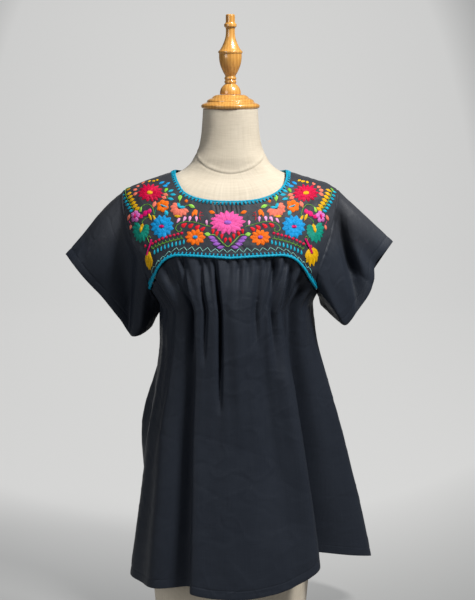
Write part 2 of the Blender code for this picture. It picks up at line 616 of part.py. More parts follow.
def build_form():
    heights = [row[0] for row in FORM["rows"]]
    add_figure("form_body", FORM, 40, heights, "linen")
    top = heights[0] + WOOD_GAP
    add_turned("neck_cap", CAP_PROFILE, top, 36, "varnished_wood")
    add_turned("neck_finial", FINIAL_PROFILE, top + CAP_PROFILE[-1][1] + WOOD_GAP, 20, "varnished_wood")


def main():
    for found in list(bpy.data.objects):
        bpy.data.objects.remove(found)
    build_form()
    build_yoke()
    build_body()
    build_sleeves()
    build_trims()


main()
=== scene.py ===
"""Looks of the huipil blouse on its dress form: worn cloth, embroidery, linen figure, turned wood and light.

The cloth lies on the same figure as the CAD part: an angle theta runs round it, 0 at the centre front and 90 at
the +X side, and z is the height. Sizes are in metres, apart from tables that name other units.
"""

import math

import bpy
import numpy as np
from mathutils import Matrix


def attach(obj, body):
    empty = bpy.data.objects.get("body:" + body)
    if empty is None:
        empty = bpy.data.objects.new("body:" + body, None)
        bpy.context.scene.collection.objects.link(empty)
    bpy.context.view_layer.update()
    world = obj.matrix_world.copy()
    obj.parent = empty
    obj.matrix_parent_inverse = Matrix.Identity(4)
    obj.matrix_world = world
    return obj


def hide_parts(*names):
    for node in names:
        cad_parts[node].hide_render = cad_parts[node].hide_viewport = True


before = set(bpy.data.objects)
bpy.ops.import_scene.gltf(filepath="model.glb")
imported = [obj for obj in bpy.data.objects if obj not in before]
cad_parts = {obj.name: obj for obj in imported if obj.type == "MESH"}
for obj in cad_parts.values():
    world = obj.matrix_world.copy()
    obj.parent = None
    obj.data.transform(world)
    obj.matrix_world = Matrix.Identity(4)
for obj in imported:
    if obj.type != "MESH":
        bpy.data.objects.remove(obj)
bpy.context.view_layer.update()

UNITS = {"mm": 1000.0, "deg": 180 / math.pi, "-": 1.0}


def table(units, *rows):
    """Rows of numbers with a unit for each column, in metres and radians."""
    return np.array(rows, float) / [UNITS[unit] for unit in units.split()]


# ---------------------------------------------------------------- driving sizes, as in the CAD part
SEAM = 0.0009  # gap between two pieces of cloth where they are sewn together
SQUARE = 0.06  # how much fuller than an ellipse the figure's rings are
TRIM_RADIUS = 0.0019  # the neck's corded edging
TRIM_GAP = 0.0008
WOOD_GAP = 0.0004

# Half widths and depths of the cloth figure.
FIGURE = table(
    "mm mm mm mm mm",  # z, left, right, front, back
    (806, 85, 85, 52, 58),
    (795, 101, 102, 60, 64),
    (784, 137, 142, 69, 74),
    (773.5, 165, 172, 79, 84),
    (762, 188, 189, 88, 92),
    (743, 197, 196, 98, 100),
    (715, 200, 198, 110, 106),
    (680, 198, 197, 121, 109),
    (640, 184, 187, 131, 109),
    (600, 156, 166, 138, 108),
    (560, 128, 147, 140, 107),
    (500, 127, 148, 141, 110),
    (425, 135, 158, 144, 118),
    (335, 150, 172, 152, 130),
    (240, 159, 185, 165, 143),
    (150, 169, 196, 178, 155),
    (50, 179, 206, 190, 166),
)

# The dress form inside, on the same plan.
FORM = table(
    "mm mm mm mm mm",  # z, left, right, front, back
    (904, 48, 48, 48, 48),
    (880, 49.5, 49.5, 49, 49),
    (855, 52, 52, 50, 51),
    (835, 56.5, 56.5, 52, 54),
    (820, 64, 64, 54, 56),
    (808, 71.8, 71.8, 54.6, 56),
    (795, 89.5, 89.5, 56.3, 58.3),
    (786, 113, 113, 60.2, 62.2),
    (776, 145, 145, 67, 69.5),
    (764, 166, 166, 75, 77),
    (750, 175, 175, 82, 84),
    (730, 179, 179, 92.5, 90.5),
    (690, 174, 174, 104, 94),
    (640, 156, 156, 116, 94),
    (590, 132, 132, 121, 90),
    (545, 116, 116, 119, 86),
    (490, 108, 108, 104, 80),
    (425, 104, 104, 90, 77),
    (360, 118, 118, 92, 88),
    (280, 139, 139, 101, 104),
    (200, 150, 150, 106, 111),
    (100, 148, 148, 104, 108),
    (0, 140, 140, 98, 100),
)

# Neck opening, seen from the front: half width, heights at the centre front, the sides and the centre back.
NECK_HALF = 0.1005
NECK_FRONT_Z = 0.7485
NECK_SIDE_Z = 0.7950
NECK_BACK_Z = 0.7880
NECK_ROUND = 1.25  # above 1, the front of the opening is flatter than a circle

# The yoke's lower edge and its armhole edge, as x, z seen from the front. +X half; the other mirrors it.
FRONT_EDGE = table(
    "mm mm",
    (0, 658), (45, 660.5), (85, 661.7), (108, 655.5), (125, 638.5), (136, 619), (149, 598),
)
FRONT_ARMHOLE = table(
    "mm mm",
    (149, 598), (150, 626), (159, 652), (170, 680), (179, 715), (186, 747), (188, 762),
)
BACK_ARMHOLE = table(
    "mm mm",
    (188, 762), (188, 740), (184, 710), (177, 675), (167, 648),
)
BACK_EDGE = table(
    "mm mm",
    (167, 648), (120, 644), (60, 642), (0, 641.5),
)
UNDERARM_Z = {"left": 0.5480, "right": 0.5820}

# Height of the blouse's lower edge round the body: theta, z.
HEM = table(
    "deg mm",
    (-180, 80), (-120, 84), (-90, 86), (-75, 78), (-60, 75), (-45, 80), (-25, 83), (-10, 76), (5, 74),
    (18, 79), (28, 86), (36, 98), (44, 116), (54, 122), (64, 118), (74, 106), (84, 94), (94, 84), (120, 86),
    (150, 82), (180, 80),
)

# Large folds of the body. A minus depth is a valley. skew is how much wider the +theta flank is.
FOLDS = table(
    # theta_top, theta_low, z_top, z_low, width_top, width_low, depth_top, depth_mid, depth_low, skew
    "deg deg mm mm deg deg mm mm mm -",
    (-32, -26, 660, 20, 5.5, 11.5, -4, -22, -31, 0.22),  # long valley left of centre
    (-25, -20, 600, 20, 4, 7, 0, 3, 5, 1),  # its sharp right edge
    (-50, -45, 640, 20, 6, 7.5, 1, 7, 11, 1),  # soft ridge beside it
    (-54, -69, 620, 20, 5.5, 8.5, 2, 6, 13, 1),  # left front corner of the hem
    (-7.5, -7, 668, 390, 1.7, 2.6, -8, -15, 0, 0.5),  # deep narrow pleat
    (5, 5, 640, 330, 4.5, 8, 1, 6, 0, 1),  # broad ridge at the centre
    (-14, -20, 668, 470, 1.6, 2.6, -5, -9, 0, 0.6),  # slanting pleats
    (-23, -32, 664, 480, 1.6, 2.6, -5, -8, 0, 0.6),
    (21, 31, 665, 450, 1.6, 2.8, -6, -11, 0, 1.5),
    (30, 42, 662, 430, 1.6, 2.8, -6, -10, 0, 1.5),
    (14, 17.5, 665, 500, 2.2, 3, -4, -9, 0, 0.7),  # short pleat right of centre
    (20, 25, 560, 150, 3.2, 8, 0, -6, 0, 1),
    (28, 43.5, 640, 20, 4, 7.5, 1, 12, 17, 0.8),  # ridge that ends the front plane
    (44, 59, 640, 20, 5, 9, -8, -36, -58, 0.9),  # deep recess behind that ridge
    (72, 81, 560, 20, 7, 10, 0, 36, 64, 2),  # right flare
    (-86, -84, 450, 230, 5, 6, 0, -6, 0, 1),
    (-104, -102, 450, 230, 7, 7, 0, 15, 0, 1),  # back bulge seen past the left side
    (112, 116, 560, 20, 7, 9, 0, -20, -30, 1),
    (136, 138, 640, 20, 5, 10, 2, 12, 18, 1),
    (158, 160, 640, 20, 4, 8, -3, -11, -16, 1),
    (-176, -178, 640, 20, 4, 9, 2, 9, 14, 1),
    (-154, -156, 640, 20, 4, 8, -4, -12, -18, 0.8),
    (-130, -131, 620, 20, 5, 9, 2, 11, 15, 1),
)

# Gathers: small valleys that start at the yoke seam.
GATHERS = table(
    "deg deg mm mm",  # theta, width, depth, length
    (-55, 1.9, 6, 60),
    (-47, 1.8, 7, 85),
    (-35.5, 1.8, 7.5, 55),
    (-29.5, 1.6, 7.5, 110),
    (-23.5, 1.5, 7, 50),
    (-12, 1.5, 7.5, 70),
    (-0.5, 1.3, 5.5, 40),
    (4.5, 1.4, 8, 75),
    (9.5, 1.3, 7, 50),
    (18.5, 1.4, 7, 90),
    (23, 1.4, 7.5, 110),
    (28.5, 1.5, 8, 120),
    (34, 1.5, 7.5, 150),
    (40.5, 1.6, 7, 130),
    (48, 1.8, 7, 110),
    (56, 2, 6, 80),
    (130, 2.4, 7, 70),
    (141, 2.2, 7.5, 110),
    (150, 2.2, 7, 80),
    (165, 2.2, 7.5, 120),
    (173, 2, 7, 70),
    (-168, 2.2, 7.5, 90),
    (-160, 2.2, 7, 130),
    (-146, 2.2, 7.5, 80),
    (-137, 2.2, 7, 100),
)

# The sleeve's cuff, a flattened loop: from the top corner down the front and up the back.
# share is where the point falls on the armhole's own loop, from 0 at the shoulder to 0.5 under the arm.
CUFFS = {  # share, x, y, z
    "left": table(
        "- mm mm mm",
        (0, -294.5, 2, 648),
        (0.07, -279, -19, 633),
        (0.14, -256, -28, 606),
        (0.22, -227, -33, 575),
        (0.31, -198, -42, 537),
        (0.38, -175, -50, 508),
        (0.43, -158, -40, 510),
        (0.5, -140, -3, 519),
        (0.57, -156, 30, 517),
        (0.66, -192, 37, 534),
        (0.78, -233, 35, 580),
        (0.9, -274, 24, 625),
    ),
    "right": table(
        "- mm mm mm",
        (0, 290, 6, 670),
        (0.07, 274, -10, 653),
        (0.14, 256, -16, 630),
        (0.22, 253, -28, 601),
        (0.3, 235, -44, 565),
        (0.38, 201, -56, 530),
        (0.43, 188, -44, 536),
        (0.5, 162, 2, 556),
        (0.57, 184, 36, 542),
        (0.66, 216, 40, 558),
        (0.78, 250, 41, 600),
        (0.9, 277, 29, 644),
    ),
}

# Dents and swells of the sleeves: place on the loop at the armhole and at the cuff, the level between them
# (0 to 1), the widths of both, the move, and how much wider the flank on the greater share is.
SLEEVE_FOLDS = {  # share_top, share_low, along, share_width, along_width, dx, dy, dz, skew
    "left": table(
        "- - - - - mm mm mm -",
        (0.21, 0.36, 0.52, 0.085, 0.55, 2, 34, 0, 0.22),
        (0.05, 0.12, 0.5, 0.08, 0.4, 0, -5, 0, 1),
        (0.33, 0.43, 0.55, 0.034, 0.4, 0, -9, 0, 1),
        (0, 0, 0.36, 0.08, 0.3, -2, 0, 4.5, 1),
        (0.8, 0.8, 0.45, 0.09, 0.3, 4, -12, 0, 1),
    ),
    "right": table(
        "- - - - - mm mm mm -",
        (0.12, 0.33, 0.45, 0.06, 0.5, -4, 32, 0, 0.45),
        (0.03, 0.08, 0.45, 0.07, 0.4, 2, -4, 0, 1),
        (0.33, 0.39, 0.6, 0.026, 0.45, 0, -10, 0, 1),
        (0.8, 0.8, 0.45, 0.09, 0.3, -4, -12, 0, 1),
    ),
}

# Turned profiles of the neck cap and its finial: radius, height above the piece's own foot.
CAP_PROFILE = table(
    "mm mm",
    (48, 0), (51, 2.5), (51.5, 5.5), (49, 8.5), (43, 11.2), (41.2, 12.5), (40.8, 14.5), (37, 17.2),
    (32.5, 19.2), (31.2, 20.5), (28.5, 22.8), (24, 24.5),
)
FINIAL_PROFILE = table(
    "mm mm",
    (18.5, 0), (18, 6), (15.5, 12), (11.5, 16.5), (9.2, 18.5), (10.4, 20.5), (10.4, 23), (9, 24.5),
    (10.4, 26.5), (10.4, 29), (9, 30.5), (13, 39), (17.5, 50), (19.8, 62), (20, 70), (21.2, 71.5),
    (21.2, 73.5), (18, 77), (12.5, 87), (8.8, 98), (7.8, 111), (8.5, 114), (10.8, 116.5), (10.8, 120),
    (8.5, 122.5), (8, 124), (8, 135), (6.8, 137),
)


# ---------------------------------------------------------------- curves and tables
def slopes(x, y):
    """Slopes of a curve through the points that never overshoots them (Fritsch and Carlson)."""
    step = np.diff(y) / np.diff(x)
    m = np.concatenate([[step[0]], (step[1:] + step[:-1]) / 2, [step[-1]]])
    for i, d in enumerate(step):
        if d == 0:
            m[i] = m[i + 1] = 0
            continue
        for j in (i, i + 1):
            m[j] = 0 if m[j] / d < 0 else min(abs(m[j]), 3 * abs(d)) * math.copysign(1, d)
    return m


def through(x, y, at):
    """A smooth curve through (x, y), x rising, read at the places in at."""
    x, y, at = np.asarray(x, float), np.asarray(y, float), np.asarray(at, float)
    m = slopes(x, y)
    i = np.clip(np.searchsorted(x, at) - 1, 0, len(x) - 2)
    h = x[i + 1] - x[i]
    t = np.clip((at - x[i]) / h, 0, 1)
    t2, t3 = t * t, t * t * t
    start = (2 * t3 - 3 * t2 + 1) * y[i] + (t3 - 2 * t2 + t) * h * m[i]
    return start + (3 * t2 - 2 * t3) * y[i + 1] + (t3 - t2) * h * m[i + 1]


def unit(vectors):
    return vectors / np.linalg.norm(vectors, axis=-1, keepdims=True)


def run(points):
    """Distances along lines of points (..., points, xyz), each from its first point."""
    step = np.linalg.norm(np.diff(points, axis=-2), axis=-1)
    return np.concatenate([np.zeros_like(step[..., :1]), np.cumsum(step, axis=-1)], axis=-1)


def ring_of(values, closed):
    """The values, and the first again at the end if the line is closed."""
    return np.concatenate([values, values[:1]]) if closed else values


def wrapped(angle):
    """The same angle between minus and plus half a turn."""
    return (angle + math.pi) % (2 * math.pi) - math.pi


def bell(offset, width):
    return np.exp(-((offset / width) ** 2))


def smooth_step(x):
    x = np.clip(x, 0, 1)
    return x * x * (3 - 2 * x)


def ring_sizes(body, z):
    """Left, right, front and back half sizes of a figure's rings at the heights z."""
    rows = body[::-1]
    return [through(rows[:, 0], rows[:, k], z) for k in (1, 2, 3, 4)]


def fullness(theta):
    return 1 + SQUARE * np.sin(2 * theta) ** 2


def figure_point(body, theta, z):
    """Points of a figure's surface at angles theta (radians) and heights z, as an array of x, y, z."""
    left, right, front, back = ring_sizes(body, z)
    s, c = np.sin(theta), np.cos(theta)
    x = np.where(s > 0, right, left) * s * fullness(theta)
    y = -np.where(c > 0, front, back) * c * fullness(theta)
    return np.stack([x, y, np.broadcast_to(z, x.shape)], axis=-1)


def angle_at(body, x, z, behind=False):
    """The angle at which a figure's surface has this x at this height, on its front or its back."""
    left, right, _, _ = ring_sizes(body, z)
    share = np.clip(np.abs(x) / np.where(np.asarray(x) > 0, right, left), 0, 1)
    quarter = np.linspace(0, math.pi / 2, 400)
    theta = np.interp(share, np.sin(quarter) * fullness(quarter), quarter)
    theta = np.where(behind, math.pi - theta, theta)
    return theta * np.where(np.asarray(x) < 0, -1, 1)


def along(points, shares):
    """Points on a smooth curve through a short list, at shares of its length."""
    at = run(points)
    return np.stack([through(at, column, shares * at[-1]) for column in points.T], axis=1)


# ---------------------------------------------------------------- edges that two pieces share
def armhole_outline(count_front, count_back):
    """The yoke's armhole edge from its front lower tip over the shoulder to its back corner, as theta, z."""
    front = along(FRONT_ARMHOLE, np.linspace(0, 1, count_front + 1))
    back = along(BACK_ARMHOLE, np.linspace(0, 1, count_back + 1))
    theta = np.concatenate(
        [angle_at(FIGURE, front[:-1, 0], front[:-1, 1]), angle_at(FIGURE, back[:, 0], back[:, 1], True)]
    )
    theta[count_front] = math.pi / 2
    return theta, np.concatenate([front[:-1, 1], back[:, 1]])


def yoke_edge(count, behind=False):
    """The yoke's lower edge from the centre to its tip, as theta, z. +X half."""
    edge = BACK_EDGE[::-1] if behind else FRONT_EDGE
    p = along(edge, np.linspace(0, 1, count + 1))
    return angle_at(FIGURE, p[:, 0], p[:, 1], behind), p[:, 1]


def underarm_curve(folded, low):
    """Height of the body's upper edge under one arm, between the yoke's front tip and its back corner."""
    front_theta, front_z = (v[-1] for v in yoke_edge(2))
    back_theta, back_z = (v[-1] for v in yoke_edge(2, True))
    side = math.pi / 2
    in_front = np.clip((folded - front_theta) / (side - front_theta), 0, 1)
    behind = np.clip((back_theta - folded) / (back_theta - side), 0, 1)
    z_front = front_z + (low - front_z) * np.sin(in_front * math.pi / 2)
    z_behind = back_z + (low - back_z) * np.sin(behind * math.pi / 2)
    return np.where(folded < side, z_front, z_behind)


def body_top(theta):
    """Height of the body panels' upper edge at the angles theta: the yoke's lower edge, then the underarm."""
    front_theta, front_z = yoke_edge(60)
    back_theta, back_z = yoke_edge(40, True)
    theta = wrapped(theta)
    folded = np.abs(theta)
    behind = np.interp(folded, back_theta[::-1], back_z[::-1])
    along_yoke = np.where(folded < math.pi / 2, np.interp(folded, front_theta, front_z), behind)
    low = np.where(theta < 0, UNDERARM_Z["left"], UNDERARM_Z["right"])
    under = (folded > front_theta[-1]) & (folded < back_theta[-1])
    return np.where(under, underarm_curve(folded, low), along_yoke)


# ---------------------------------------------------------------- cloth surfaces, as grids of points
def fold_depth(theta, z):
    """How far the body's large folds stand out from the figure, at angles theta and heights z."""
    depth = np.zeros(np.broadcast(theta, z).shape)
    for top, low, z_top, z_low, width_top, width_low, d_top, d_mid, d_low, skew in FOLDS:
        t = np.clip((z_top - z) / (z_top - z_low), 0, 1)
        width = width_top + (width_low - width_top) * t
        turn = wrapped(theta - top - (low - top) * np.sin(t * math.pi / 2))
        width = np.where(turn > 0, width * skew, width)
        size = d_top * (1 - t) * (1 - 2 * t) + d_mid * 4 * t * (1 - t) + d_low * t * (2 * t - 1)
        depth += size * bell(turn, width)
    return depth


def gather_depth(theta, below):
    """How far the gathers sink in at angles theta, at distances below the seam that holds them."""
    depth = np.zeros(np.broadcast(theta, below).shape)
    grow = 0.35 + 0.65 * np.clip(below / 0.018, 0, 1)
    for centre, width, deep, length in GATHERS:
        spread = width * (1 + 0.8 * np.clip(below / length, 0, 2))
        depth -= deep * grow * bell(below, length) * bell(wrapped(theta - centre), spread)
    return depth


def out_of_yoke(theta, below):
    """0 at the armhole's edge, 1 well below it, so that folds die out at the sleeve; 1 under the yoke."""
    folded = np.abs(wrapped(theta))
    tip, corner = yoke_edge(2)[0][-1], yoke_edge(2, True)[0][-1]
    inside = np.clip(np.minimum(folded - tip, corner - folded) / math.radians(4) + 0.5, 0, 1)
    return 1 - inside * (1 - smooth_step(below / 0.025))


def neck_outline(alpha):
    """The neck opening as theta, z at the angles alpha round it."""
    x = NECK_HALF * np.abs(np.sin(alpha))
    in_front = np.cos(alpha) >= 0
    rise = (1 - np.abs(np.cos(alpha))) ** NECK_ROUND
    z = np.where(in_front, NECK_FRONT_Z, NECK_BACK_Z)
    z = z + (NECK_SIDE_Z - z) * rise
    theta = angle_at(FIGURE, x, z, ~in_front)
    theta = np.where(np.abs(np.cos(alpha)) < 1e-6, math.pi / 2, theta)
    return theta * np.where(np.sin(alpha) < 0, -1, 1), z


def yoke_outline(per_edge):
    """The yoke's outer edge round the +X half as theta, z, and the alpha of each point on the neck."""
    front, armhole_front, armhole_back, back = per_edge
    front_theta, front_z = yoke_edge(front)
    side_theta, side_z = armhole_outline(armhole_front, armhole_back)
    back_theta, back_z = yoke_edge(back, True)
    theta = np.concatenate([front_theta, side_theta[1:], back_theta[::-1][1:]])
    z = np.concatenate([front_z, side_z[1:], back_z[::-1][1:]])
    corners = (0, 48, 90, 128, 180)  # where the four edges meet, on the neck
    alpha = [np.linspace(*ends, count, endpoint=False) for *ends, count in zip(corners, corners[1:], per_edge)]
    return theta, z, np.radians(np.concatenate([*alpha, corners[-1:]]))


def armhole_loop(name, count):
    """The loop that a sleeve is sewn to: count points from the shoulder, down the front and up the back."""
    side = -1 if name == "left" else 1
    theta, z = armhole_outline(40, 30)
    front_theta, front_z = theta[:41][::-1], z[:41][::-1]
    back_theta, back_z = theta[40:], z[40:]
    under = np.linspace(front_theta[-1], back_theta[-1], 60)
    turn = np.concatenate([front_theta, under[1:-1], back_theta[::-1]])
    height = np.concatenate([front_z, underarm_curve(under[1:-1], UNDERARM_Z[name]), back_z[::-1]])
    p = figure_point(FIGURE, turn * side, height)
    length = run(p)
    low = length[np.argmin(p[:, 2])]
    # Half of the points are on the front and half on the back, so that share 0.5 is under the arm.
    share = np.arange(count) / count
    at = np.where(share < 0.5, share * 2 * low, low + (share - 0.5) * 2 * (length[-1] - low))
    return np.stack([np.interp(at, length, p[:, k]) for k in range(3)], axis=1), share


# ---------------------------------------------------------------- noise
def noise(u, v, seed):
    """Smooth noise between -1 and 1 over the plane, from seeded values at whole numbers."""
    u, v = np.broadcast_arrays(np.asarray(u, float), np.asarray(v, float))
    values = np.random.default_rng(seed).uniform(-1, 1, (97, 97))
    iu, iv = np.floor(u).astype(int), np.floor(v).astype(int)
    fu, fv = u - iu, v - iv
    su, sv = fu**3 * (fu * (fu * 6 - 15) + 10), fv**3 * (fv * (fv * 6 - 15) + 10)
    a, b = values[iu % 97, iv % 97], values[(iu + 1) % 97, iv % 97]
    c, d = values[iu % 97, (iv + 1) % 97], values[(iu + 1) % 97, (iv + 1) % 97]
    return (a * (1 - su) + b * su) * (1 - sv) + (c * (1 - su) + d * su) * sv


def crease(u, v, seed):
    """Narrow random creases: 1 on a crease's line, 0 away from it."""
    return np.clip(1 - np.abs(noise(u, v, seed)) / 0.22, 0, 1) ** 2


# ---------------------------------------------------------------- meshes
def new_mesh(name, points, quads, uv, materials, index=None):
    """An object of quads with a UV for each face corner."""
    mesh = bpy.data.meshes.new(name)
    quads = np.asarray(quads)
    mesh.vertices.add(len(points))
    mesh.vertices.foreach_set("co", np.asarray(points, np.float32).ravel())
    mesh.loops.add(quads.size)
    mesh.loops.foreach_set("vertex_index", quads.astype(np.int32).ravel())
    mesh.polygons.add(len(quads))
    mesh.polygons.foreach_set("loop_start", np.arange(len(quads), dtype=np.int32) * 4)
    layer = mesh.uv_layers.new(name="UVMap")
    layer.data.foreach_set("uv", np.asarray(uv, np.float32).ravel())
    for m in materials:
        mesh.materials.append(m)
    if index is not None:
        mesh.polygons.foreach_set("material_index", np.asarray(index, np.int32))
    mesh.update(calc_edges=True)
    mesh.validate()
    mesh.shade_smooth()
    made = bpy.data.objects.new(name, mesh)
    bpy.context.scene.collection.objects.link(made)
    return made


def grid_object(name, grid, closed, material, outward=None, uv=None):
    """An object on a grid of (columns, rows) points, whose first and last columns may join.
    UVs are distances along the grid, in metres. A grid that brings its own is a tube: its rows join too."""
    columns, rows = grid.shape[:2]
    tube = uv is not None
    if not tube:
        across = np.linalg.norm(np.diff(ring_of(grid, closed), axis=0), axis=-1).mean(axis=1)
        u = np.concatenate([[0], np.cumsum(across)])
        v = ring_of(run(grid), closed)
        uv = np.stack([np.broadcast_to(u[:, None], v.shape), -v], axis=-1)
    i, k = np.indices((columns if closed else columns - 1, rows if tube else rows - 1)).reshape(2, -1)
    j, m = (i + 1) % columns, (k + 1) % rows
    quads = np.stack([i * rows + k, j * rows + k, j * rows + m, i * rows + m], axis=1)
    corner = np.stack([uv[i, k], uv[i + 1, k], uv[i + 1, k + 1], uv[i, k + 1]], axis=1)
    points = grid.reshape(-1, 3)
    a, b, c = points[quads[:, 0]], points[quads[:, 1]], points[quads[:, 3]]
    normal = np.cross(b - a, c - a)
    centre = points.mean(axis=0) if outward is None else np.array(outward)
    if (normal * (a - centre)).sum() < 0:
        quads, corner = quads[:, ::-1], corner[:, ::-1]
    return new_mesh(name, points, quads, corner, [material])


# ---------------------------------------------------------------- materials
def colour(r, g, b):
    """Linear colour of an sRGB one given as 0 to 255."""
    return tuple(((c / 255 + 0.055) / 1.055) ** 2.4 if c > 10 else c / 255 / 12.92 for c in (r, g, b)) + (1,)


class Shader:
    """A material's nodes, with short ways to add them."""

    def __init__(self, name):
        self.material = bpy.data.materials.new(name)
        self.material.use_nodes = True
        self.tree = self.material.node_tree
        self.out = self.tree.nodes["Principled BSDF"]

    def set(self, **values):
        for key, value in values.items():
            self.out.inputs[key.replace("_", " ")].default_value = value

    def place(self, kind):
        return self.tree.nodes.new("ShaderNodeTexCoord").outputs[kind]

    def node(self, kind, links=(), **values):
        made = self.tree.nodes.new(kind)
        for key, value in values.items():
            if hasattr(made, key):
                setattr(made, key, value)
            else:
                made.inputs[key.replace("_", " ")].default_value = value
        for target, source in dict(links).items():
            self.tree.links.new(source, made.inputs[target])
        return made

    def link(self, source, target):
        self.tree.links.new(source, self.out.inputs[target])

    def scaled(self, source, scale, turn=0.0):
        return self.node("ShaderNodeMapping", {"Vector": source}, Scale=scale, Rotation=(0, 0, turn)).outputs[0]

    def noise(self, vector, scale, detail=2.0, rough=0.5):
        made = self.node("ShaderNodeTexNoise", {"Vector": vector}, Scale=scale, Detail=detail, Roughness=rough)
        return made.outputs[0]

    def wave(self, vector, scale, direction="X", distortion=0.0, detail=0.0):
        made = self.node("ShaderNodeTexWave", {"Vector": vector}, Scale=scale, Distortion=distortion, Detail=detail)
        made.wave_type, made.bands_direction = "BANDS", direction
        return made.outputs[1]

    def maths(self, how, a, b):
        made = self.tree.nodes.new("ShaderNodeMath")
        made.operation = how
        for k, value in enumerate((a, b)):
            if isinstance(value, (int, float)):
                made.inputs[k].default_value = value
            else:
                self.tree.links.new(value, made.inputs[k])
        return made.outputs[0]

    def ramp(self, source, stops):
        made = self.node("ShaderNodeValToRGB", {"Fac": source})
        while len(made.color_ramp.elements) < len(stops):
            made.color_ramp.elements.new(0.5)
        for element, (at, value) in zip(made.color_ramp.elements, stops):
            element.position, element.color = at, value
        return made.outputs[0]

    def bump(self, height, distance):
        made = self.node("ShaderNodeBump", {"Height": height}, Strength=1.0, Distance=distance)
        self.link(made.outputs[0], "Normal")


def woven(name, dark, light, thread, depth, roughness, sheen, slub=1.0, painted_top_light=None):
    """Plain-woven cloth. UVs are in metres; thread is the distance between two threads.
    The painted top light colour is a painted highlight: the cloth is coloured lighter from the chest up, where
    light from above falls on it."""
    s = Shader(name)
    uv = s.place("UV")
    scale = 0.314 / thread
    warp = s.wave(uv, scale, "X", 0.6, 1.0)
    weft = s.wave(uv, scale, "Y", 0.6, 1.0)
    threads = s.maths("MAXIMUM", warp, weft)
    fine = 1 / thread / 3
    slubs = [s.noise(s.scaled(uv, scale), 1.0, 3.0) for scale in ((fine, 18, 1), (22, fine, 1))]
    slubs = s.maths("ADD", *slubs)
    broad = s.noise(s.scaled(uv, (9, 7, 1)), 1.0, 4.0, 0.6)
    tone = s.maths("ADD", s.maths("MULTIPLY", slubs, 0.30 * slub), s.maths("MULTIPLY", broad, 0.40))
    stops = ((0.25, dark), (0.75, light))
    # painted highlight: above z = 0.60 the tone rises towards a lighter colour, standing in for light from above on
    # the chest, yoke and sleeves
    if painted_top_light:
        z = s.node("ShaderNodeSeparateXYZ", {"Vector": s.place("Object")}).outputs["Z"]
        up = s.maths("MULTIPLY", s.maths("SUBTRACT", z, 0.60), 8.0)
        up = s.maths("MINIMUM", s.maths("MAXIMUM", up, 0.0), 1.0)
        tone = s.maths("ADD", s.maths("MULTIPLY", tone, 0.62), s.maths("MULTIPLY", up, 0.38))
        stops = ((0.155, dark), (0.465, light), (0.80, painted_top_light))
    s.link(s.ramp(tone, stops), "Base Color")
    height = s.maths("ADD", s.maths("MULTIPLY", threads, 0.6), s.maths("MULTIPLY", slubs, 0.4 * slub))
    s.bump(height, depth)
    s.set(Roughness=roughness, Sheen_Weight=sheen, Sheen_Roughness=0.45, Specular_IOR_Level=0.20)
    return s.material


def thread_material(name, rgb):
    """Stranded embroidery thread: UVs run across (u) and along (v) each strand, in metres."""
    s = Shader(name)
    uv = s.place("UV")
    base = colour(*rgb)
    dark = tuple(c * 0.66 for c in base[:3]) + (1,)
    patches = s.noise(s.scaled(uv, (900, 120, 1)), 1.0, 2.0)
    s.link(s.ramp(patches, ((0.35, dark), (0.60, base))), "Base Color")
    twist = s.wave(s.scaled(uv, (1, 1, 1), 0.7), 420, "X", 1.0, 1.0)
    s.bump(twist, 0.00012)
    s.set(Roughness=0.50, Specular_IOR_Level=0.22)
    return s.material


BLACK = woven(
    "black_cotton",
    # the third colour is a painted highlight: the lighter tone painted on the cloth from the chest up, where light
    # from above falls on it
    dark=(0.0092, 0.0124, 0.0200, 1), light=(0.0200, 0.0250, 0.0360, 1), painted_top_light=(0.044, 0.046, 0.053, 1),
    thread=0.00042, depth=0.00010, roughness=0.52, sheen=0.0,
)
LINEN = woven(
    "linen_cover", dark=(0.43, 0.365, 0.275, 1), light=(0.63, 0.56, 0.455, 1),
    thread=0.00062, depth=0.00016, roughness=0.80, sheen=0.12, slub=1.3,
)

THREADS = {
    name: thread_material("thread_" + name, rgb)
    for name, rgb in {
        "turquoise": (0, 156, 190), "crimson": (208, 0, 66), "pink": (246, 92, 172),
        "lilac_pink": (214, 110, 190), "orange": (244, 112, 0), "blue": (0, 150, 216),
        "teal": (0, 142, 122), "yellow": (228, 176, 0), "purple": (158, 92, 196), "green": (112, 180, 52),
        "salmon": (238, 122, 100), "mint": (150, 216, 206),
        "magenta": (222, 0, 112), "cyan": (20, 176, 206), "red": (222, 14, 38), "pale_pink": (244, 164, 214),
        "pale_green": (150, 214, 80),
    }.items()
}


def wood():
    """Varnished maple: grain lines along z, wavy, with a glossy coat."""
    s = Shader("varnished_maple")
    place = s.place("Object")
    grain = s.noise(s.scaled(place, (260, 260, 14)), 1.0, 5.0, 0.6)
    rings = s.wave(s.scaled(place, (1, 1, 0.15)), 60, "X", 7.0, 3.0)
    tone = s.maths("ADD", s.maths("MULTIPLY", grain, 0.75), s.maths("MULTIPLY", rings, 0.22))
    stops = ((0.20, colour(170, 114, 50)), (0.50, colour(205, 148, 72)), (0.85, colour(226, 174, 96)))
    s.link(s.ramp(tone, stops), "Base Color")
    s.bump(grain, 0.00008)
    s.set(Roughness=0.34, Coat_Weight=0.8, Coat_Roughness=0.08)
    return s.material


WOOD = wood()


# ---------------------------------------------------------------- the body cloth
RADIUS = 0.155  # the body's mean radius, which turns an angle into a distance round it
# Rings of points near the hem's fold, in mm above it, and the turned part's: height, and how far in each lies.
HEM_RINGS = (18, 16.5, 15.5, 14.5, 13.5, 12, 9.5, 6.5, 4, 2, 0.8, 0)
TURNED_RINGS = table("mm mm", (0.4, 0.6), (1.2, 1), (4.5, 1.1), (8, 1.1), (11.5, 1), (15, 0.7))


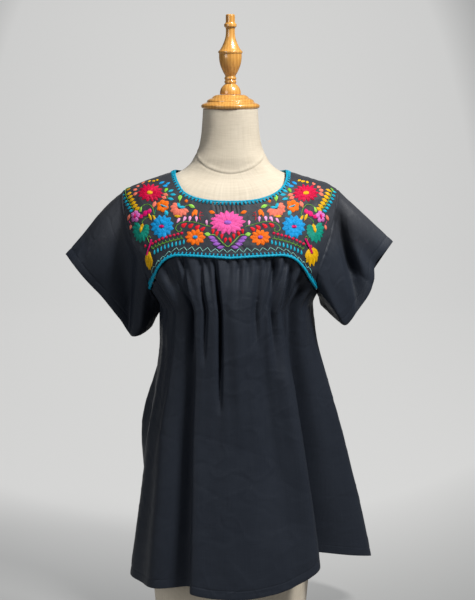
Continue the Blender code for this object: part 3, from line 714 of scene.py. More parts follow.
def body_surface(theta, z, top):
    """Points and outward directions of the worn body cloth at angles theta and heights z."""
    below = top - z
    base = figure_point(FIGURE, theta + 0 * z, z)
    ahead = figure_point(FIGURE, theta + 0.01 + 0 * z, z) - figure_point(FIGURE, theta - 0.01 + 0 * z, z)
    out = unit(np.stack([ahead[..., 1], -ahead[..., 0], 0 * z], axis=-1))
    swell = fold_depth(theta, z)
    swell = swell * np.clip(below / 0.02 + np.where(swell > 0, 0, 0.25), 0, 1)
    round_it = theta * RADIUS
    # long soft folds that hang from the gathers, then small creases in any direction
    lean = round_it * (1 - 0.35 * np.clip(below / 0.55, 0, 1))
    hang = noise(lean / 0.011 + 0.5 * noise(round_it / 0.05, z / 0.09, 3), z / 0.21, 1)
    fade = 0.0011 * smooth_step(below / 0.03) * (1 - 0.55 * smooth_step(below / 0.45))
    small = crease((round_it + 0.6 * z) / 0.055, (z - 0.5 * round_it) / 0.034, 5) * 0.0005
    small = small - crease((round_it - 0.9 * z) / 0.060, (z + 0.4 * round_it) / 0.045, 7) * 0.0005
    rough = noise(round_it / 0.016, z / 0.016, 11) * 0.00022
    detail = hang * fade + (small + rough) * smooth_step(below / 0.02)
    depth = (swell + gather_depth(theta, below) + detail) * out_of_yoke(theta, below)
    return base + out * depth[..., None], out


def body_cloth(start, end, columns, rows):
    """A body panel with its turned hem, from under the yoke's edge to the hem and 15 mm up inside."""
    inner = np.linspace(start + 0.5, end - 0.5, columns - 3)
    degrees = np.concatenate([[start, start + 0.25], inner, [end - 0.25, end]])
    theta = np.radians(degrees)[:, None]
    rise = (body_top(theta + 0.01) - body_top(theta - 0.01)) / (0.02 * 0.14)
    top = body_top(theta) - SEAM * np.sqrt(1 + np.minimum(rise**2, 9))
    hem = through(*HEM.T, wrapped(theta))
    z = top + (hem + 0.020 - top) * np.linspace(0, 1, rows + 1)[None, :] ** 1.25
    z = np.concatenate([z, hem + table("mm", *[[up] for up in HEM_RINGS]).T], axis=1)
    points, out = body_surface(theta, z, top)
    from_hem = z - hem
    dent = -0.0005 * bell(from_hem - 0.0150, 0.0009) + 0.0003 * bell(from_hem - 0.0045, 0.0035)
    stitched = 0.00022 * noise(theta * RADIUS / 0.0045 + 0 * z, 0 * z, 21) * bell(from_hem - 0.012, 0.006)
    side = np.minimum(np.abs(theta - theta[0]), np.abs(theta - theta[-1])) * 0.14
    seam = -0.0014 * bell(side, 0.0022) + 0.0004 * bell(side - 0.005, 0.0025)
    tucked = -0.0016 * bell(top - z, 0.0016)
    points = points + out * (dent + stitched + seam + tucked)[..., None]
    points[:, 0, 2] += 0.0010
    up, under = TURNED_RINGS.T
    inside, out_in = body_surface(theta, hem + up, top)
    inside = inside + out_in * (seam - under)[..., None]
    return np.concatenate([points, inside], axis=1)


# ---------------------------------------------------------------- the yoke
# Puckers, drawn in by the stitches at the neck and beside the middle's V.
PUCKERS = table(
    "mm mm mm mm mm mm",  # x_top, x_low, z_top, z_low, width, depth
    (-27, -24, 750, 730, 1.6, 2.2),
    (-21, -17, 748, 733, 1.6, 2.4),
    (-15, -13, 747, 730, 1.5, 2.4),
    (-8, -5, 746, 731, 1.5, 2.2),
    (1, 0, 746, 731, 1.5, 2.2),
    (8, 11, 747, 730, 1.5, 2.2),
    (15, 16, 748, 733, 1.6, 2),
    (-10, -22, 684, 670, 1.8, 1.4),
    (14, 26, 684, 670, 1.8, 1.4),
)


def yoke_rise(theta, z):
    """How far the yoke's cloth stands out from the figure: puckers at the neck, and the stitches' pull."""
    x = figure_point(FIGURE, theta, z)[..., 0]
    rise = noise(x / 0.006, z / 0.008, 31) * 0.00042 + noise(x / 0.019, z / 0.015, 33) * 0.00070
    front = np.cos(theta) > 0
    for top, low, z_top, z_low, width, depth in PUCKERS:
        t = (z_top - z) / (z_top - z_low)
        away = x - (top + (low - top) * t)
        rise = rise - np.where(front, depth * bell(away, width) * bell(t - 0.45, 0.5), 0)
    return rise


def outward_at(theta, z):
    """Outward directions of the cloth figure."""
    around = figure_point(FIGURE, theta + 0.004, z) - figure_point(FIGURE, theta - 0.004, z)
    up = figure_point(FIGURE, theta, z + 0.0006) - figure_point(FIGURE, theta, z - 0.0006)
    return unit(np.cross(around, up))


def yoke_places(per_edge, rows):
    """The yoke's grid as theta, z: a ring of columns, each from the neck opening to the outer edge."""
    half = yoke_outline(per_edge)
    theta, z, alpha = [np.concatenate([v, sign * v[1:-1][::-1]]) for v, sign in zip(half, (-1, 1, -1))]
    share = np.asarray(rows)[None, :]
    neck = neck_outline(alpha)
    return [start[:, None] + (end - start)[:, None] * share for start, end in zip(neck, (theta, z))]


def yoke_cloth(per_edge, rows):
    """The yoke, with rows of points close together near both edges."""
    share = np.concatenate([[0, 0.012, 0.028], np.linspace(0.045, 0.955, rows - 5), [0.972, 0.988, 1.0]])
    theta, z = yoke_places(per_edge, share)
    base = figure_point(FIGURE, theta, z)
    out = outward_at(theta, z)
    from_neck = run(base)
    from_edge = from_neck[:, -1:] - from_neck
    rise = yoke_rise(theta, z) - 0.0008 * bell(from_edge, 0.0014) + 0.0004 * bell(from_edge - 0.0045, 0.002)
    return base + out * rise[..., None]


# ---------------------------------------------------------------- the sleeves
CUFF_ROWS = (0.892, 0.904, 0.916, 0.93, 0.95, 0.97, 0.985, 0.994, 1.0)  # shares of the sleeve's length
# The turned edge inside the cuff: shares of the sleeve's length, and how far in each row lies.
TURNED_CUFF = table("- mm", (1.0, 0.5), (0.992, 0.9), (0.972, 1.0), (0.945, 1.0), (0.918, 0.9), (0.896, 0.6))


def sleeve_cloth(name, count, rows):
    """A sleeve from the armhole to the cuff, with its turned edge."""
    arm, share = armhole_loop(name, count)
    cuff = np.concatenate([CUFFS[name], CUFFS[name][:1] + [1, 0, 0, 0]])
    end = np.stack([through(cuff[:, 0], cuff[:, k], share) for k in (1, 2, 3)], axis=1)
    gap = np.linalg.norm(end - arm, axis=1, keepdims=True)
    way = (end - arm) / gap
    sideways = bell(share - 0.5, 0.10)[:, None]
    outwards = np.array([math.copysign(1, arm[0, 0]), 0, 0])
    begin = arm - 0.0016 * (way * (1 - sideways) + outwards * sideways)  # just under the armhole's edge
    t = np.concatenate([np.linspace(0, 1, rows) ** 1.1 * 0.88, CUFF_ROWS])
    grid = begin[:, None] + (end - begin)[:, None] * t[None, :, None]
    for top, low, level, place_width, level_width, *move, skew in SLEEVE_FOLDS[name]:
        turn = (share[:, None] - top - (low - top) * t[None, :] + 0.5) % 1 - 0.5
        width = np.where(turn > 0, place_width * skew, place_width)
        size = bell(turn, width) * bell(t - level, level_width)[None, :] * np.minimum(1, t / 0.12)[None, :]
        grid = grid + size[..., None] * np.array(move)
    around = np.roll(grid, -1, axis=0) - np.roll(grid, 1, axis=0)
    down = np.gradient(grid, axis=1)
    out = unit(np.cross(around, down))
    centre = grid.mean(axis=(0, 1))
    if (out * (grid - centre)).sum() < 0:
        out = -out
    length = gap * t[None, :]
    round_it = run(grid[:, len(t) // 2])[:, None]
    seed = 40 if name == "left" else 60
    fade = smooth_step(np.minimum(round_it, round_it[-1] - round_it) / 0.02)
    detail = 0.0009 * noise(round_it / 0.030, length / 0.055, seed) * fade
    detail = detail + 0.0004 * crease((round_it + length) / 0.05, (length - round_it) / 0.037, seed + 1) * fade
    slanted = crease((round_it - length) / 0.06, (length + 0.3 * round_it) / 0.041, seed + 2)
    detail = detail - 0.0004 * slanted * fade
    detail = detail + 0.0002 * noise(round_it / 0.012, length / 0.012, seed + 3)
    # puckers along the armhole seam
    detail = detail + 0.0009 * noise(round_it / 0.006, length / 0.05, seed + 4) * bell(length, 0.012)
    from_cuff = gap * (1 - t[None, :])
    detail = detail - 0.0005 * bell(from_cuff - 0.0150, 0.0012) + 0.0003 * bell(from_cuff - 0.006, 0.004)
    detail = detail - 0.0012 * bell(length, 0.0012) + 0.0006 * bell(length - 0.004, 0.0025)
    grid = grid + out * detail[..., None]
    back, under = TURNED_CUFF.T
    lay = lambda row: np.interp(back, t, row)
    inside, out_in = (np.apply_along_axis(lay, 1, values) for values in (grid, out))
    return np.concatenate([grid, inside - out_in * under[None, :, None]], axis=1)


# ---------------------------------------------------------------- threads laid on the yoke
MIDDLE = -0.004  # the embroidery's centre line, a little towards -X


class Stitches:
    """Threads of embroidery, gathered as batches of raised strips and made into one object."""

    def __init__(self):
        self.points, self.quads, self.uv, self.index, self.names, self.count = [], [], [], [], [], 0
        self.random = np.random.default_rng(4)

    def add(self, line, normal, width, height, name):
        """Strips along lines (threads, points, 3), with a width and a height at each point."""
        if name not in self.names:
            self.names.append(name)
        threads, n = line.shape[:2]
        tangent = np.gradient(line, axis=1)
        side = unit(np.cross(normal, tangent))
        angles = np.radians([8, 50, 90, 130, 172])
        across = side[:, :, None] * (width[..., None] / 2 * np.cos(angles))[..., None]
        up = normal[:, :, None] * (height[..., None] * np.sin(angles) - 0.0003)[..., None]
        p = line[:, :, None] + across + up
        ids = np.arange(threads * n * 5).reshape(threads, n, 5) + self.count
        quads = np.stack([ids[:, :-1, :-1], ids[:, :-1, 1:], ids[:, 1:, 1:], ids[:, 1:, :-1]], axis=-1)
        v = run(line) + self.random.uniform(0, 0.3, (threads, 1))
        u = (np.arange(5) / 4 * 0.0012)[None, None, :] + self.random.uniform(0, 0.2, (threads, 1, 1))
        uv = np.stack([np.broadcast_to(u, ids.shape), np.broadcast_to(v[:, :, None], ids.shape)], axis=-1)
        corner = np.stack([uv[:, :-1, :-1], uv[:, :-1, 1:], uv[:, 1:, 1:], uv[:, 1:, :-1]], axis=-2)
        self.points.append(p.reshape(-1, 3))
        self.quads.append(quads.reshape(-1, 4))
        self.uv.append(corner.reshape(-1, 4, 2))
        self.index.append(np.full(quads.size // 4, self.names.index(name)))
        self.count += threads * n * 5

    def build(self, name):
        points, quads, uv, index = map(np.concatenate, (self.points, self.quads, self.uv, self.index))
        return new_mesh(name, points, quads, uv, [THREADS[n] for n in self.names], index)


def on_yoke(theta, z, height):
    """Points and outward directions on the yoke's cloth, a height above it."""
    out = outward_at(theta, z)
    return figure_point(FIGURE, theta, z) + out * (yoke_rise(theta, z) + height)[..., None], out


class Place:
    """A spot on the yoke where a motif is drawn in flat coordinates, in metres: a outwards, b upwards."""

    def __init__(self, x, z, flip=1, turn=0.0, seen=False):
        self.theta = float(angle_at(FIGURE, x, z))
        self.x, self.z, self.flip, self.turn, self.seen = x, z, flip, math.radians(turn), seen
        theta, z = self.theta + np.array([0.01, -0.01, 0, 0]), z + np.array([0, 0, 0.002, -0.002])
        right, left, above, under = figure_point(FIGURE, theta, z)
        around, up = (right - left) / 0.02, (above - under) / 0.004
        self.per_theta = float(np.linalg.norm(around))
        self.lean = float(up @ around) / self.per_theta
        self.per_z = float(np.linalg.norm(up - self.lean * around / self.per_theta))

    def lay(self, a, b, height):
        c, s = math.cos(self.turn), math.sin(self.turn)
        a, b = a * c - b * s, a * s + b * c
        if self.seen:  # on a steep slope, drawn as it looks from the front
            return on_yoke(angle_at(FIGURE, self.x + self.flip * a, self.z + b), self.z + b, height)
        rise = b / self.per_z
        return on_yoke(self.theta + (self.flip * a - self.lean * rise) / self.per_theta, self.z + rise, height)


def petal(work, place, start, tip, width, name, threads=6, shape="petal", lift=0.0011, base=0.0, points=6):
    """A satin petal or leaf from start to tip (a, b), its threads side by side along it."""
    start, tip = np.array(start, float), np.array(tip, float)
    way = tip - start
    side = unit(np.array([-way[1], way[0]]))
    u = (np.arange(threads) + 0.5) / threads * 2 - 1
    u = u[:, None] + work.random.uniform(-0.06, 0.06, (threads, 1))
    if shape == "petal":
        reach = 1 - 0.24 * u**2 + work.random.uniform(-0.035, 0.035, (threads, 1))
        t = np.linspace(0, 1, points)[None, :] * reach
        spread = 0.22 + 0.78 * np.sin(np.clip(t, 0, 1) * math.pi * 0.84)
    elif shape == "drop":
        reach = 1 - 0.30 * u**2
        t = np.linspace(0, 1, points)[None, :] * reach
        spread = 0.08 + 0.92 * np.clip(t, 0, 1) ** 0.8
    else:
        t = 0.5 + (np.linspace(0, 1, points)[None, :] - 0.5) * (1 - 0.45 * u**2)
        spread = 0.12 + 0.88 * np.sin(np.clip(t, 0, 1) * math.pi)
    across = u * width / 2 * spread * (1 - 0.5 / threads)
    a, b = (start[k] + way[k] * t + side[k] * across for k in (0, 1))
    along_it = np.linspace(0, 1, points)[None, :] + 0 * u
    arch = np.clip(np.sin(math.pi * np.clip(along_it, 0.02, 0.98)), 0, 1) ** 0.45
    height = base + lift * (1 - 0.5 * u**2) * arch
    line, out = place.lay(a, b, height)
    thread = width / threads * 1.35
    taper = 0.35 + 0.65 * np.sin(math.pi * np.clip(along_it, 0.06, 0.94)) ** 0.5
    wide = thread * (0.45 + 0.55 * spread) * taper
    work.add(line, out, wide, 0.0005 + 0 * wide, name)


def dot(work, place, centre, radius_a, radius_b, name, threads=5, lift=0.0012, base=0.0):
    """A satin dot or oval of parallel threads."""
    u = ((np.arange(threads) + 0.5) / threads * 2 - 1)[:, None]
    t = np.linspace(-1, 1, 5)[None, :]
    a = centre[0] + u * radius_a + 0 * t
    b = centre[1] + t * radius_b * np.sqrt(1 - (u * 0.9) ** 2)
    height = base + lift * (1 - 0.45 * u**2) * np.clip(1 - t**2, 0.03, 1) ** 0.4
    line, out = place.lay(a, b, height)
    wide = radius_a * 2 / threads * 1.35 * np.clip(1 - t**2, 0.12, 1) ** 0.5 + 0 * u
    work.add(line, out, wide, 0.0005 + 0 * wide, name)


def fan(work, place, rows, start, width, name, threads=6):
    """Petals from one place: a row for each, with its angle in degrees and its reach in mm. start says where."""
    for angle, reach in rows:
        c, s = math.cos(math.radians(angle)), math.sin(math.radians(angle))
        petal(work, place, start(c, s), (c * reach / 1000, s * reach / 1000), width, name, threads, lift=0.0012)


def flower(
    work, place, radius_a, radius_b, count, name, middle,
    inner=0.62, first=0.0, threads=7, wide=1.0, centre=(0.2, 0.2),
):
    """A round flower: a ring of petals, a raised second ring where inner is given, and a satin middle."""
    rings = ((1.0, count, 0.0), (inner, max(5, round(count * 0.62)), 0.0006))
    for ring, (reach, petals, base) in enumerate(rings[: 2 if inner else 1]):
        for k in range(petals):
            turn = math.radians(first) + 2 * math.pi * (k + 0.5 * ring) / petals
            jitter = 1 + work.random.uniform(-0.06, 0.06)
            c, s = math.cos(turn), math.sin(turn)
            tip = (c * radius_a * reach * jitter, s * radius_b * reach * jitter)
            start = (c * radius_a * 0.16, s * radius_b * 0.16)
            size = 2 * math.pi * (radius_a + radius_b) / 2 * reach / petals * 0.5
            petal(work, place, start, tip, size * wide * 1.55, name, threads, lift=0.0012, base=base)
    if middle:
        dot(work, place, (0, 0), radius_a * centre[0], radius_b * centre[1], middle, 6, 0.0011, 0.0013)


def curve_through(points, count):
    """A smooth open curve through a few points, evenly spaced along it."""
    p = np.array(points, float)
    p = np.concatenate([[2 * p[0] - p[1]], p, [2 * p[-1] - p[-2]]])
    fine = []
    for a, b, c, d in zip(p, p[1:], p[2:], p[3:]):
        t = np.linspace(0, 1, 24, endpoint=False)[:, None]
        bend, twist = 2 * a - 5 * b + 4 * c - d, 3 * b - a - 3 * c + d
        fine.append(0.5 * (2 * b + (c - a) * t + bend * t**2 + twist * t**3))
    fine = np.concatenate([*fine, p[-2:-1]])
    at = run(fine)
    want = np.linspace(0, at[-1], count)
    return np.stack([np.interp(want, at, fine[:, k]) for k in range(2)], axis=1)


def stem(work, points, name, thick, flip, raised=0.0002):
    """A line of stem stitch through (half, z) points: short threads that overlap like a rope."""
    line = curve_through(points, max(8, int(run(points)[-1] / 0.0006)))
    x = flip * line[:, 0] + MIDDLE
    theta = angle_at(FIGURE, x, line[:, 1])
    spots, out = on_yoke(theta, line[:, 1], np.full(len(line), raised))
    reach, step = 7, 4
    starts = np.arange(0, max(1, len(line) - reach + 1), step)
    ids = np.minimum(starts[:, None] + np.arange(reach)[None, :], len(line) - 1)
    strands, normals = spots[ids], out[ids]
    side = unit(np.cross(normals, np.gradient(strands, axis=1)))
    slant = np.linspace(-0.30, 0.30, reach)[None, :, None] * thick
    t = np.linspace(0, 1, reach)[None, :] + 0 * ids
    wide = thick * 0.80 * (0.35 + 0.65 * np.sin(math.pi * np.clip(t, 0.05, 0.95)))
    high = 0.0006 * np.sin(math.pi * np.clip(t, 0.08, 0.92)) + 0.0002
    work.add(strands + side * slant, normals, wide, high, name)


def leaf(work, half, z, length, width, angle, name, flip, threads=5, shape="leaf", lift=0.0010):
    """A small leaf, drop or bud centred at (half, z); angle 0 points away from the centre line, 90 up."""
    place = Place(flip * half + MIDDLE, z, flip)
    reach = np.array([math.cos(math.radians(angle)), math.sin(math.radians(angle))]) * length * 1.2 / 2
    petal(work, place, -reach, reach, width * 1.45, name, threads, shape, lift)


# Small leaves of one half, in mm and degrees: half, z, length, width, angle, colour, and any other shape.
LEAVES = (
    # round the crimson flower
    (148.4, 776.5, 8.5, 4.5, 60, "salmon"), (157.2, 772.2, 9.5, 4.5, 20, "salmon"),
    (160.6, 766.8, 9, 4.8, 0, "salmon"), (161.4, 759.8, 8.5, 5, -30, "salmon"),
    (137.6, 780, 8.5, 3.6, 35, "yellow"), (130, 781.8, 10, 3.6, -160, "yellow"),
    (123.5, 783.4, 9, 3.4, -150, "yellow"), (115, 779.5, 9, 4.8, 120, "blue"),
    (108.5, 774.5, 8.5, 4.4, 170, "blue"), (103, 778.5, 7, 4, 135, "blue"),
    (106, 768, 8, 5.8, 100, "green", "drop"), (106.2, 761.2, 9, 4.2, -170, "salmon"),
    (109.8, 755.6, 8.5, 4.2, -150, "salmon"), (126.2, 744.5, 10.5, 5, -70, "salmon"),
    (97.8, 767.2, 8.5, 3.6, 150, "cyan"), (94.5, 761.5, 9, 3.6, 175, "cyan"),
    (97.5, 754.5, 9.5, 3.8, -165, "cyan"),
    # sprouts of the salmon flower
    (82.3, 756, 8.5, 7, 90, "pale_green", "drop"), (61.2, 742.5, 10.5, 4.2, -160, "pale_green"),
    (70.5, 751.2, 5.5, 3.8, 180, "orange"), (104.6, 730.8, 9, 4.8, 60, "cyan"),
    (85.5, 726.2, 11, 3.4, -175, "yellow"), (133, 723.2, 12, 3.4, 55, "yellow"),
    (126.2, 722.2, 11, 3.2, 50, "yellow"),
    # middle
    (26.8, 733.5, 10, 4.2, 15, "orange"), (54.5, 732.2, 9.5, 7, 75, "orange", "drop"),
    (59, 730, 8, 5.2, 100, "orange", "drop"),
    # along the spiral vine
    (83.6, 718.8, 8.2, 4.4, 120, "pale_pink", "drop"), (73.6, 721.4, 8.2, 5, 110, "pale_pink", "drop"),
    (64, 722, 8.2, 4.8, 100, "pale_pink", "drop"), (53.6, 721.4, 8.2, 4.4, 90, "pale_pink", "drop"),
    (36.2, 716, 7.8, 4, 85, "pale_pink", "drop"), (74, 712.2, 8.5, 6.6, -40, "red", "drop"),
    (62.6, 710.4, 8.5, 6.4, -40, "red", "drop"), (51.6, 708, 8.5, 6.4, -40, "red", "drop"),
    (42.5, 705.6, 8, 6, -40, "red", "drop"),
    # the V at the centre
    (25.2, 702.2, 7.5, 5, 100, "red", "drop"), (18, 698.5, 7.5, 5, 100, "red", "drop"),
    (10.6, 693.8, 7.8, 5, 100, "red", "drop"), (4.2, 687.2, 7.8, 4.8, 100, "red", "drop"),
    (27.5, 690.8, 11, 4.2, 8, "purple"), (23.2, 686.2, 11.5, 4.2, 0, "purple"),
    (18.8, 681.2, 11.5, 4.2, -8, "purple"), (12.8, 675.5, 11, 4.2, -15, "purple"),
    (34.5, 696.8, 9, 4.8, 5, "pale_green"),
    # curls between the flowers
    (149.4, 734.8, 8, 5.6, -80, "pale_green", "drop"), (142, 729, 10.5, 6.2, 120, "magenta"),
    (133.6, 732.5, 9, 5.6, 100, "magenta"), (149.2, 722.8, 8.5, 4.8, 150, "magenta"),
    (147, 705.8, 11, 5.6, -80, "yellow"), (171.6, 720.5, 10, 4.4, 110, "salmon"),
    (167.6, 704, 8.5, 3.4, -85, "salmon"), (141.2, 674.5, 4.5, 3.8, 0, "crimson"),
    (182, 765.5, 8.5, 5.6, 60, "green", "drop"),
)

# Stems of one half, in mm: colour, thickness, and points as half, z.
STEMS = (
    ("green", 1.1, (
        (29, 709.7), (40, 712.2), (50, 715), (63.4, 717.4), (76, 716.6), (85, 712.5), (88.6, 707),
        (86.8, 702.4), (82, 700.8), (78.6, 703.4), (80, 706.6), (82.6, 705.8))),
    ("pale_green", 1.2, ((0.4, 676.5), (6, 681), (12, 686.8), (17, 692.2), (21.5, 695.8), (30, 696.8))),
    ("green", 1.1, (
        (130, 670.2), (122.5, 675), (115.4, 678.4), (105, 682.6), (95, 685.8), (85, 688.4), (76.7, 690.3))),
    ("green", 1.1, (
        (125.1, 726.9), (126.6, 733), (129, 739.2), (134.7, 743.7), (141.5, 743.8), (147, 740), (149, 737))),
    ("green", 1.1, ((123, 725.5), (129, 725.5), (135, 723.4), (142, 720), (146.2, 715), (147.4, 709.5))),
    ("teal", 1, ((125.1, 726.9), (123.6, 734), (120, 740), (114, 742.8))),
    ("green", 1, ((106.2, 765.5), (103.6, 760), (103.2, 754))),
    ("green", 1, ((82.6, 744), (82.2, 749), (82.4, 753))),
    ("green", 1, ((74, 741.5), (70, 744), (65.5, 743.6))),
    ("red", 0.9, ((46.4, 735.2), (47.6, 729), (47, 723), (45.2, 717.2))),
    ("red", 0.9, ((47, 732), (44, 732.8), (41.2, 732.2))),
    ("red", 0.9, ((47.6, 727), (44, 728.2), (41.2, 727.6))),
    ("red", 0.9, ((46.8, 721.5), (49.5, 725), (50, 726.2))),
    ("green", 1, ((131.8, 676), (135, 683), (136.8, 688.5), (134.6, 691.5), (132.2, 689.4), (133.8, 687.2))),
    ("magenta", 1, ((170.4, 715.2), (168.6, 711.2), (167.8, 708))),
    ("green", 1.1, ((181.2, 764), (177.6, 756), (172, 746.8), (166, 738.4), (161.2, 733))),
)


# Petals: angle from the motif's outward side, reach in mm.
SALMON_PETALS = ((30, 15), (2, 16.5), (-25, 17.2), (-52, 16.5), (-78, 16), (-104, 16.5), (-130, 18), (-154, 17.5))
HEART_PETALS = (
    (28, 20), (5, 22.5), (-18, 21.5), (-40, 21.5), (-62, 23.5), (-84, 24), (-106, 21.5), (-130, 18), (-155, 16),
    (-182, 15), (-206, 15),
)
BELL_PETALS = ((-52, 20), (-66, 26.5), (-79, 31), (-92, 30), (-106, 25.5), (-120, 19.5))
# The loose threads over each side's bell flower, in mm: half and z of the first, and the step to the next.
TASSELS = {
    -1: ((128.4, 686, 1.2), (131, 677, 0.8), (134.6, 667, 0.8), (137.6, 657, 0.6)),
    1: ((130.5, 688, 1.4), (134, 680, 1.3), (138.5, 671, 1.2), (141.8, 661, 1.6)),
}


def bell_flower(work, flip):
    """The yellow bell at the yoke's corner, wide open on the +X side, with its magenta threads."""
    half, z, spread = (0.1345, 0.6640, 0.55) if flip < 0 else (0.1425, 0.6700, 1.25)
    petals = [(-86 + (angle + 86) * spread, reach) for angle, reach in BELL_PETALS]
    width = 0.0085 * (0.6 + 0.4 * spread)
    place = Place(flip * half + MIDDLE, z, flip)
    fan(work, place, petals, lambda c, s: (c * 0.003, s * 0.003 + 0.004), width, "yellow")
    for k in range(3):
        tassel = [((half + step * k) / 1000, z / 1000) for half, z, step in TASSELS[flip]]
        stem(work, tassel, "magenta", 0.0016, flip, 0.0020)


def sprigs(work, flip):
    """The twigs over the border, with red dots above and cyan drops below, and the outer sprig of leaves."""
    for half, z in curve_through(((0.1290, 0.6710), (0.1154, 0.6784), (0.1015, 0.6838), (0.0785, 0.6900)), 9):
        stem(work, ((half, z), (half + 0.0006, z + 0.0030), (half - 0.0004, z + 0.0058)), "green", 0.0009, flip)
        stem(work, ((half, z), (half - 0.0030, z - 0.0006), (half - 0.0046, z - 0.0026)), "green", 0.0009, flip)
        leaf(work, half - 0.0004, z + 0.0082, 0.0042, 0.0036, 90, "crimson", flip, 4)
        leaf(work, half - 0.0040, z - 0.0062, 0.0066, 0.0034, -90.75, "cyan", flip, 4, "drop")
    outer = ((0.1808, 0.7632), (0.1776, 0.7560), (0.1720, 0.7468), (0.1660, 0.7384), (0.1620, 0.7335))
    for half, z in curve_through(outer, 7):
        leaf(work, half + 0.0050, z - 0.0018, 0.0085, 0.0034, -20, "cyan", flip)
        leaf(work, half - 0.0058, z + 0.0020, 0.0105, 0.0046, 150, "yellow", flip)


def embroider_half(work, flip):
    """All the motifs of one half of the front yoke; flip is -1 on the -X side."""
    spot = lambda half, z, turn=0.0, seen=False: Place(flip * half + MIDDLE, z, flip, turn, seen)
    for name, thick, points in STEMS:
        stem(work, np.array(points) / 1000, name, thick / 1000, flip)
    for *sizes, angle, name, shape in [row if len(row) > 6 else (*row, "leaf") for row in LEAVES]:
        half, z, length, width = np.array(sizes) / 1000
        shift = work.random.uniform(-0.0006, 0.0006, 2)
        turn = angle + work.random.uniform(-7, 7)
        leaf(work, half + shift[0], z + shift[1], length, width, turn, name, flip, 5, shape)
    flower(work, spot(0.1338, 0.7628, 0.0, True), 0.0226, 0.0146, 14, "crimson", "yellow")
    flower(work, spot(0.1112, 0.7421), 0.0118, 0.0118, 6, "orange", None, 0, 20, 6, 0.95)
    dot(work, spot(0.1112, 0.7421, 20), (-0.002, 0.0005), 0.0060, 0.0013, "cyan", 4, 0.0009, 0.0009)
    flower(work, spot(0.1590, 0.7231), 0.0100, 0.0112, 5, "lilac_pink", "magenta", 0, 90, 6, 0.85, (0.18, 0.40))
    flower(work, spot(0.1124, 0.7083), 0.0210, 0.0200, 12, "blue", "magenta", 0.62, 10, 7, 1.12, (0.20, 0.13))
    middle = "blue" if flip < 0 else "purple"
    flower(work, spot(0.0550, 0.6919), 0.0172, 0.0138, 10, "orange", middle, 0, 0, 7, 1.0, (0.22, 0.22))
    salmon, heart = spot(0.0821, 0.7400), spot(0.1476, 0.7022)
    fan(work, salmon, SALMON_PETALS, lambda c, s: (0.003 * c, 0.003 * s if s < 0 else 0.002), 0.0078, "salmon")
    petal(work, salmon, (-0.001, -0.001), (0.004, 0.0085), 0.0058, "cyan", 5, "petal", 0.0012, 0.0008)
    petal(work, salmon, (0.002, 0.0005), (-0.0105, 0.0005), 0.0050, "cyan", 5, "petal", 0.0012, 0.0008)
    fan(work, heart, HEART_PETALS, lambda c, s: (c * 0.0012, s * 0.0012), 0.0098, "teal", 7)
    petal(work, heart, (0.0005, 0.0045), (0.0010, -0.0060), 0.0058, "yellow", 5, "leaf", 0.0013, 0.0012)
    bell_flower(work, flip)
    sprigs(work, flip)


def embroider_middle(work):
    """The large pink flower at the front."""
    flower(work, Place(MIDDLE, 0.7163), 0.0290, 0.0205, 16, "pink", "purple", 0.66, 4, 8, 1.15)


# ---------------------------------------------------------------- edgings
EDGE_COLUMNS = (192, 96, 72, 84)  # of one half: front edge, front armhole, back armhole, back edge
CORD_STEP = 0.0009


def even(points, step, closed):
    """Places of evenly spaced points about step apart, as fractional places on the line's own points."""
    at = run(ring_of(points, closed))
    want = np.linspace(0, at[-1], max(4, round(at[-1] / step)), endpoint=False)
    return np.interp(want if closed else [*want, at[-1]], at, np.arange(len(at)))


def sample(values, places, closed):
    """The values at fractional places."""
    ring = ring_of(values, closed)
    low = np.minimum(places.astype(int), len(ring) - 2)
    f = (places - low).reshape(-1, *[1] * (ring.ndim - 1))
    return ring[low] * (1 - f) + ring[low + 1] * f


def rope(name, line, out, radius, closed, pitch=0.0052, flat=0.86):
    """A two-ply cord along an even line: its section turns as it goes, so that the plies show."""
    n, sides = len(line), 14
    ahead = (np.roll(line, -1, axis=0) - np.roll(line, 1, axis=0)) if closed else np.gradient(line, axis=0)
    tangent = unit(ahead)
    side = unit(np.cross(out, tangent))
    up = np.cross(tangent, side)
    step = np.linalg.norm(line[1] - line[0])
    turns = n * step / pitch
    turns = round(turns) if closed else turns
    phase = np.arange(n) / n * turns * math.pi
    phi = np.linspace(0, 2 * math.pi, sides, endpoint=False)
    section = radius * (0.80 + 0.20 * np.abs(np.cos(phi[None, :] - phase[:, None])) ** 0.7)
    if not closed:  # rounded ends
        section[:3] *= np.array([[0.35], [0.75], [0.95]])
        section[-3:] *= np.array([[0.95], [0.75], [0.35]])
    across, high = (section * np.cos(phi))[..., None], (section * np.sin(phi) * flat)[..., None]
    p = line[:, None] + side[:, None] * across + up[:, None] * high
    u, v = np.arange(sides + 1) * 2 * math.pi * radius / sides, np.arange(n + 1) * step
    uv = np.stack(np.broadcast_arrays(u[None, :], v[:, None]), axis=-1)
    return grid_object(name, p, closed, THREADS["turquoise"], uv=uv)


def inwards(edge, into, distance):
    """theta, z at distances from an edge towards inner points, both given as theta, z."""
    size = np.linalg.norm(figure_point(FIGURE, *into) - figure_point(FIGURE, *edge), axis=-1)
    share = distance / size[:, None]
    return [start[:, None] + (end - start)[:, None] * share for start, end in zip(edge, into)]


def teeth(work, edge, into, length, width, lift, strands=3):
    """Buttonhole stitches that reach from an edge into the cloth."""
    t = np.linspace(-0.25, 1, 6)[None, :]
    inside = np.clip(t, 0, 1)
    turn, height = inwards(edge, into, t * length)
    arch = lift * np.clip(1 - np.abs(t - 0.25) ** 2.2 * 1.45, 0.10, 1) + 0 * turn
    line, out = on_yoke(turn, height, arch)
    side = unit(np.cross(out, np.gradient(line, axis=1)))
    wide = width / strands * 1.5 * (1 - 0.45 * inside**3) + 0 * turn
    for k in range(strands):
        lateral = (k - (strands - 1) / 2) * width / strands * (1 - 0.25 * inside)
        work.add(line + side * lateral[..., None], out, wide, 0.0006 + 0 * wide, "turquoise")


